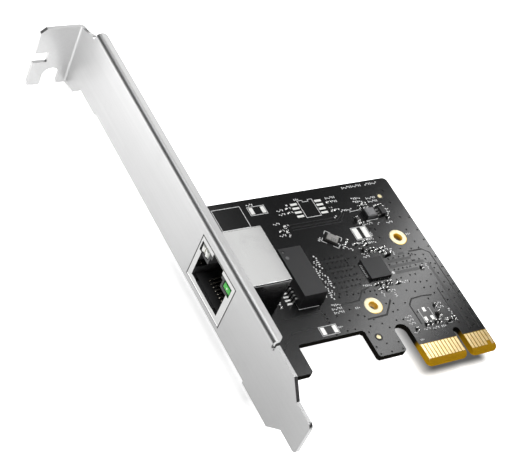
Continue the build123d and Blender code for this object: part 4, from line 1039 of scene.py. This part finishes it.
# Painted shade of the gap round the jack's front frame, a dark slab laid over it: its outer edges in Y and Z,
# its width and its depth
FRAME_Y = (21.45, 37.65)
FRAME_Z = (-0.1, 13.05)
FRAME_GAP = 0.26
GAP_DEEP = 0.06
# Thin pieces on the frame stand this far out from it
FRAME_PROUD = 0.004
# The rolled edge at the frame's foot: how far it stands out, how high it is, and how far from the corners
FOOT_PROUD = 0.07
FOOT_TALL = 0.24
FOOT_INSET = 0.3


def jack_face():
    """Where thin pieces lie on the front of the jack's frame."""
    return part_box("jack_shield")[0].x / MM - FRAME_PROUD


def painted_jack_gap_shade():
    """A dark slab over the gap between the jack's frame and the bracket, painted shade where the gap lies in
    shadow.
    """
    x0 = jack_face()
    x1 = x0 + GAP_DEEP
    (y0, y1), (z0, z1), wide = FRAME_Y, FRAME_Z, FRAME_GAP
    gap = Sheetwork()
    sides = [(y0, y1, z0, z0 + wide), (y0, y1, z1 - wide, z1), (y0, y0 + wide, z0, z1), (y1 - wide, y1, z0, z1)]
    for ya, yb, za, zb in sides:
        gap.slab([(x0, ya), (x1, ya), (x1, yb), (x0, yb)], za, zb)
    gap.done("painted_jack_gap_shade", DARK_END)


def jack_foot_edge():
    """The bright rolled edge at the foot of the jack's frame."""
    x, z = jack_face(), FRAME_Z[0] + FRAME_GAP
    section = [(x, z), (x - FOOT_PROUD, z), (x, z + FOOT_TALL)]
    ends = [[(px, y, pz) for px, pz in section] for y in (FRAME_Y[0] + FOOT_INSET, FRAME_Y[1] - FOOT_INSET)]
    edge = Sheetwork()
    edge.shell(*ends)
    edge.done("jack_frame_foot_edge", TIN)


# Size of the opening round each alignment target, and of the target that it leaves free
TARGET_OPENING = 2.1
TARGET_FREE = 1.14
OPENING_TALL = 0.006


def target_marks():
    """The round alignment targets, each in a ring of bare laminate that the mask leaves open."""
    targets = Sheetwork()
    for low, high in island_boxes("fiducial_marks"):
        targets.disc((low.x + high.x) / 2, (low.y + high.y) / 2, high.x - low.x, low.z, high.z, 32)
    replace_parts(targets.done("smooth_target_marks", TARGET_GOLD), "fiducial_marks")
    openings = Sheetwork()
    wide, free, tall = TARGET_OPENING, TARGET_FREE, OPENING_TALL
    for x, y in FIDUCIALS:
        openings.turned(x, y, ((wide, 0.0), (wide, tall), (free, tall), (free, 0.0)), 32)
    openings.done("target_mask_openings", GAP_MASK)


# Studio

# Soft lights that shine straight or slanting down: place, aim, width, length and brightness
SOFTBOXES = (
    ("overhead_softbox", (-75, 15, 300), (-75, 15, 0), 220, 220, 4.5),
    ("high_left_softbox", (-100, 165, 270), (-58, 45, 0), 130, 200, 1.6),
    ("flange_card", (-19, 134, 70), (-19, 134, 0), 42, 100, 1.5),
    ("shield_card", (-19, 57, 70), (-19, 57, 0), 42, 54, 1.15),
)
STRIP_PLACE = Vector((92.0, 88.9, 104.0))
STRIP_AIM = Vector((-2.0, 23.5, 0.0))
STRIP_WAY = Vector((0.784, 0.62, 0.0))
STRIP_SIZE = (240, 17)
STRIP_BRIGHTNESS = 8.4
AIR_COLOUR = (0.97, 0.98, 1.0, 1.0)
AIR_STRENGTH = 0.06
FLOOR_WIDE = 6000
FLOOR_DEEP = 4


def softbox(name, place, target, wide, tall, radiance):
    """A soft light of an even brightness; its watts follow from its size."""
    data = bpy.data.lights.new(name, "AREA")
    data.shape = "RECTANGLE"
    data.size = wide * MM
    data.size_y = tall * MM
    data.energy = radiance * math.pi * wide * tall * MM * MM
    lamp = bpy.data.objects.new(name, data)
    lamp.location = Vector(place) * MM
    lamp.visible_camera = False
    lamp.rotation_euler = (Vector(target) - Vector(place)).to_track_quat("-Z", "Y").to_euler()
    bpy.context.scene.collection.objects.link(lamp)
    return lamp


def strip_turn():
    """Turns the strip light so that its reflection runs across the board from the foot to the far corner."""
    back = (STRIP_PLACE - STRIP_AIM).normalized()
    along = (STRIP_WAY - back * STRIP_WAY.dot(back)).normalized()
    return Matrix((along, back.cross(along), back)).transposed().to_euler()


def studio_air():
    """A faint even light from all round, and plain colours in the picture."""
    scene = bpy.context.scene
    world = bpy.data.worlds.new("studio_air")
    world.use_nodes = True
    background = world.node_tree.nodes["Background"]
    background.inputs["Color"].default_value = AIR_COLOUR
    background.inputs["Strength"].default_value = AIR_STRENGTH
    scene.world = world
    scene.view_settings.view_transform = "Standard"


def studio_lights():
    for light in SOFTBOXES:
        softbox(*light)
    strip = softbox("board_strip_light", STRIP_PLACE, STRIP_AIM, *STRIP_SIZE, STRIP_BRIGHTNESS)
    strip.rotation_euler = strip_turn()


def studio_floor():
    work = Sheetwork()
    work.disc(0, 0, FLOOR_WIDE, FLOOR_Z / MM - FLOOR_DEEP, FLOOR_Z / MM, 48)
    floor = work.made("studio_floor", floor_finish())


def photograph_camera():
    data = bpy.data.cameras.new("photograph_camera")
    data.lens = LENS_MM
    data.sensor_width = SENSOR_MM
    data.shift_x, data.shift_y = CAMERA_SHIFT
    data.clip_start = 0.01
    camera = bpy.data.objects.new("photograph_camera", data)
    turn = Matrix((CAMERA_RIGHT, -CAMERA_DOWN, -CAMERA_AHEAD)).transposed().to_4x4()
    camera.matrix_world = Matrix.Translation(CAMERA_PLACE) @ turn
    bpy.context.scene.collection.objects.link(camera)
    bpy.context.scene.camera = camera


dress_nodes()
silkscreen()
pour_gaps()
tracks()
vias()
chip_fillets()
lead_fillets()
joint_cones()
heatsink_rings()
heatsink_walls()
target_marks()
transformer_marks()
crystal_lid_print()
painted_jack_gap_shade()
jack_foot_edge()
studio_air()
studio_lights()
studio_floor()
photograph_camera()
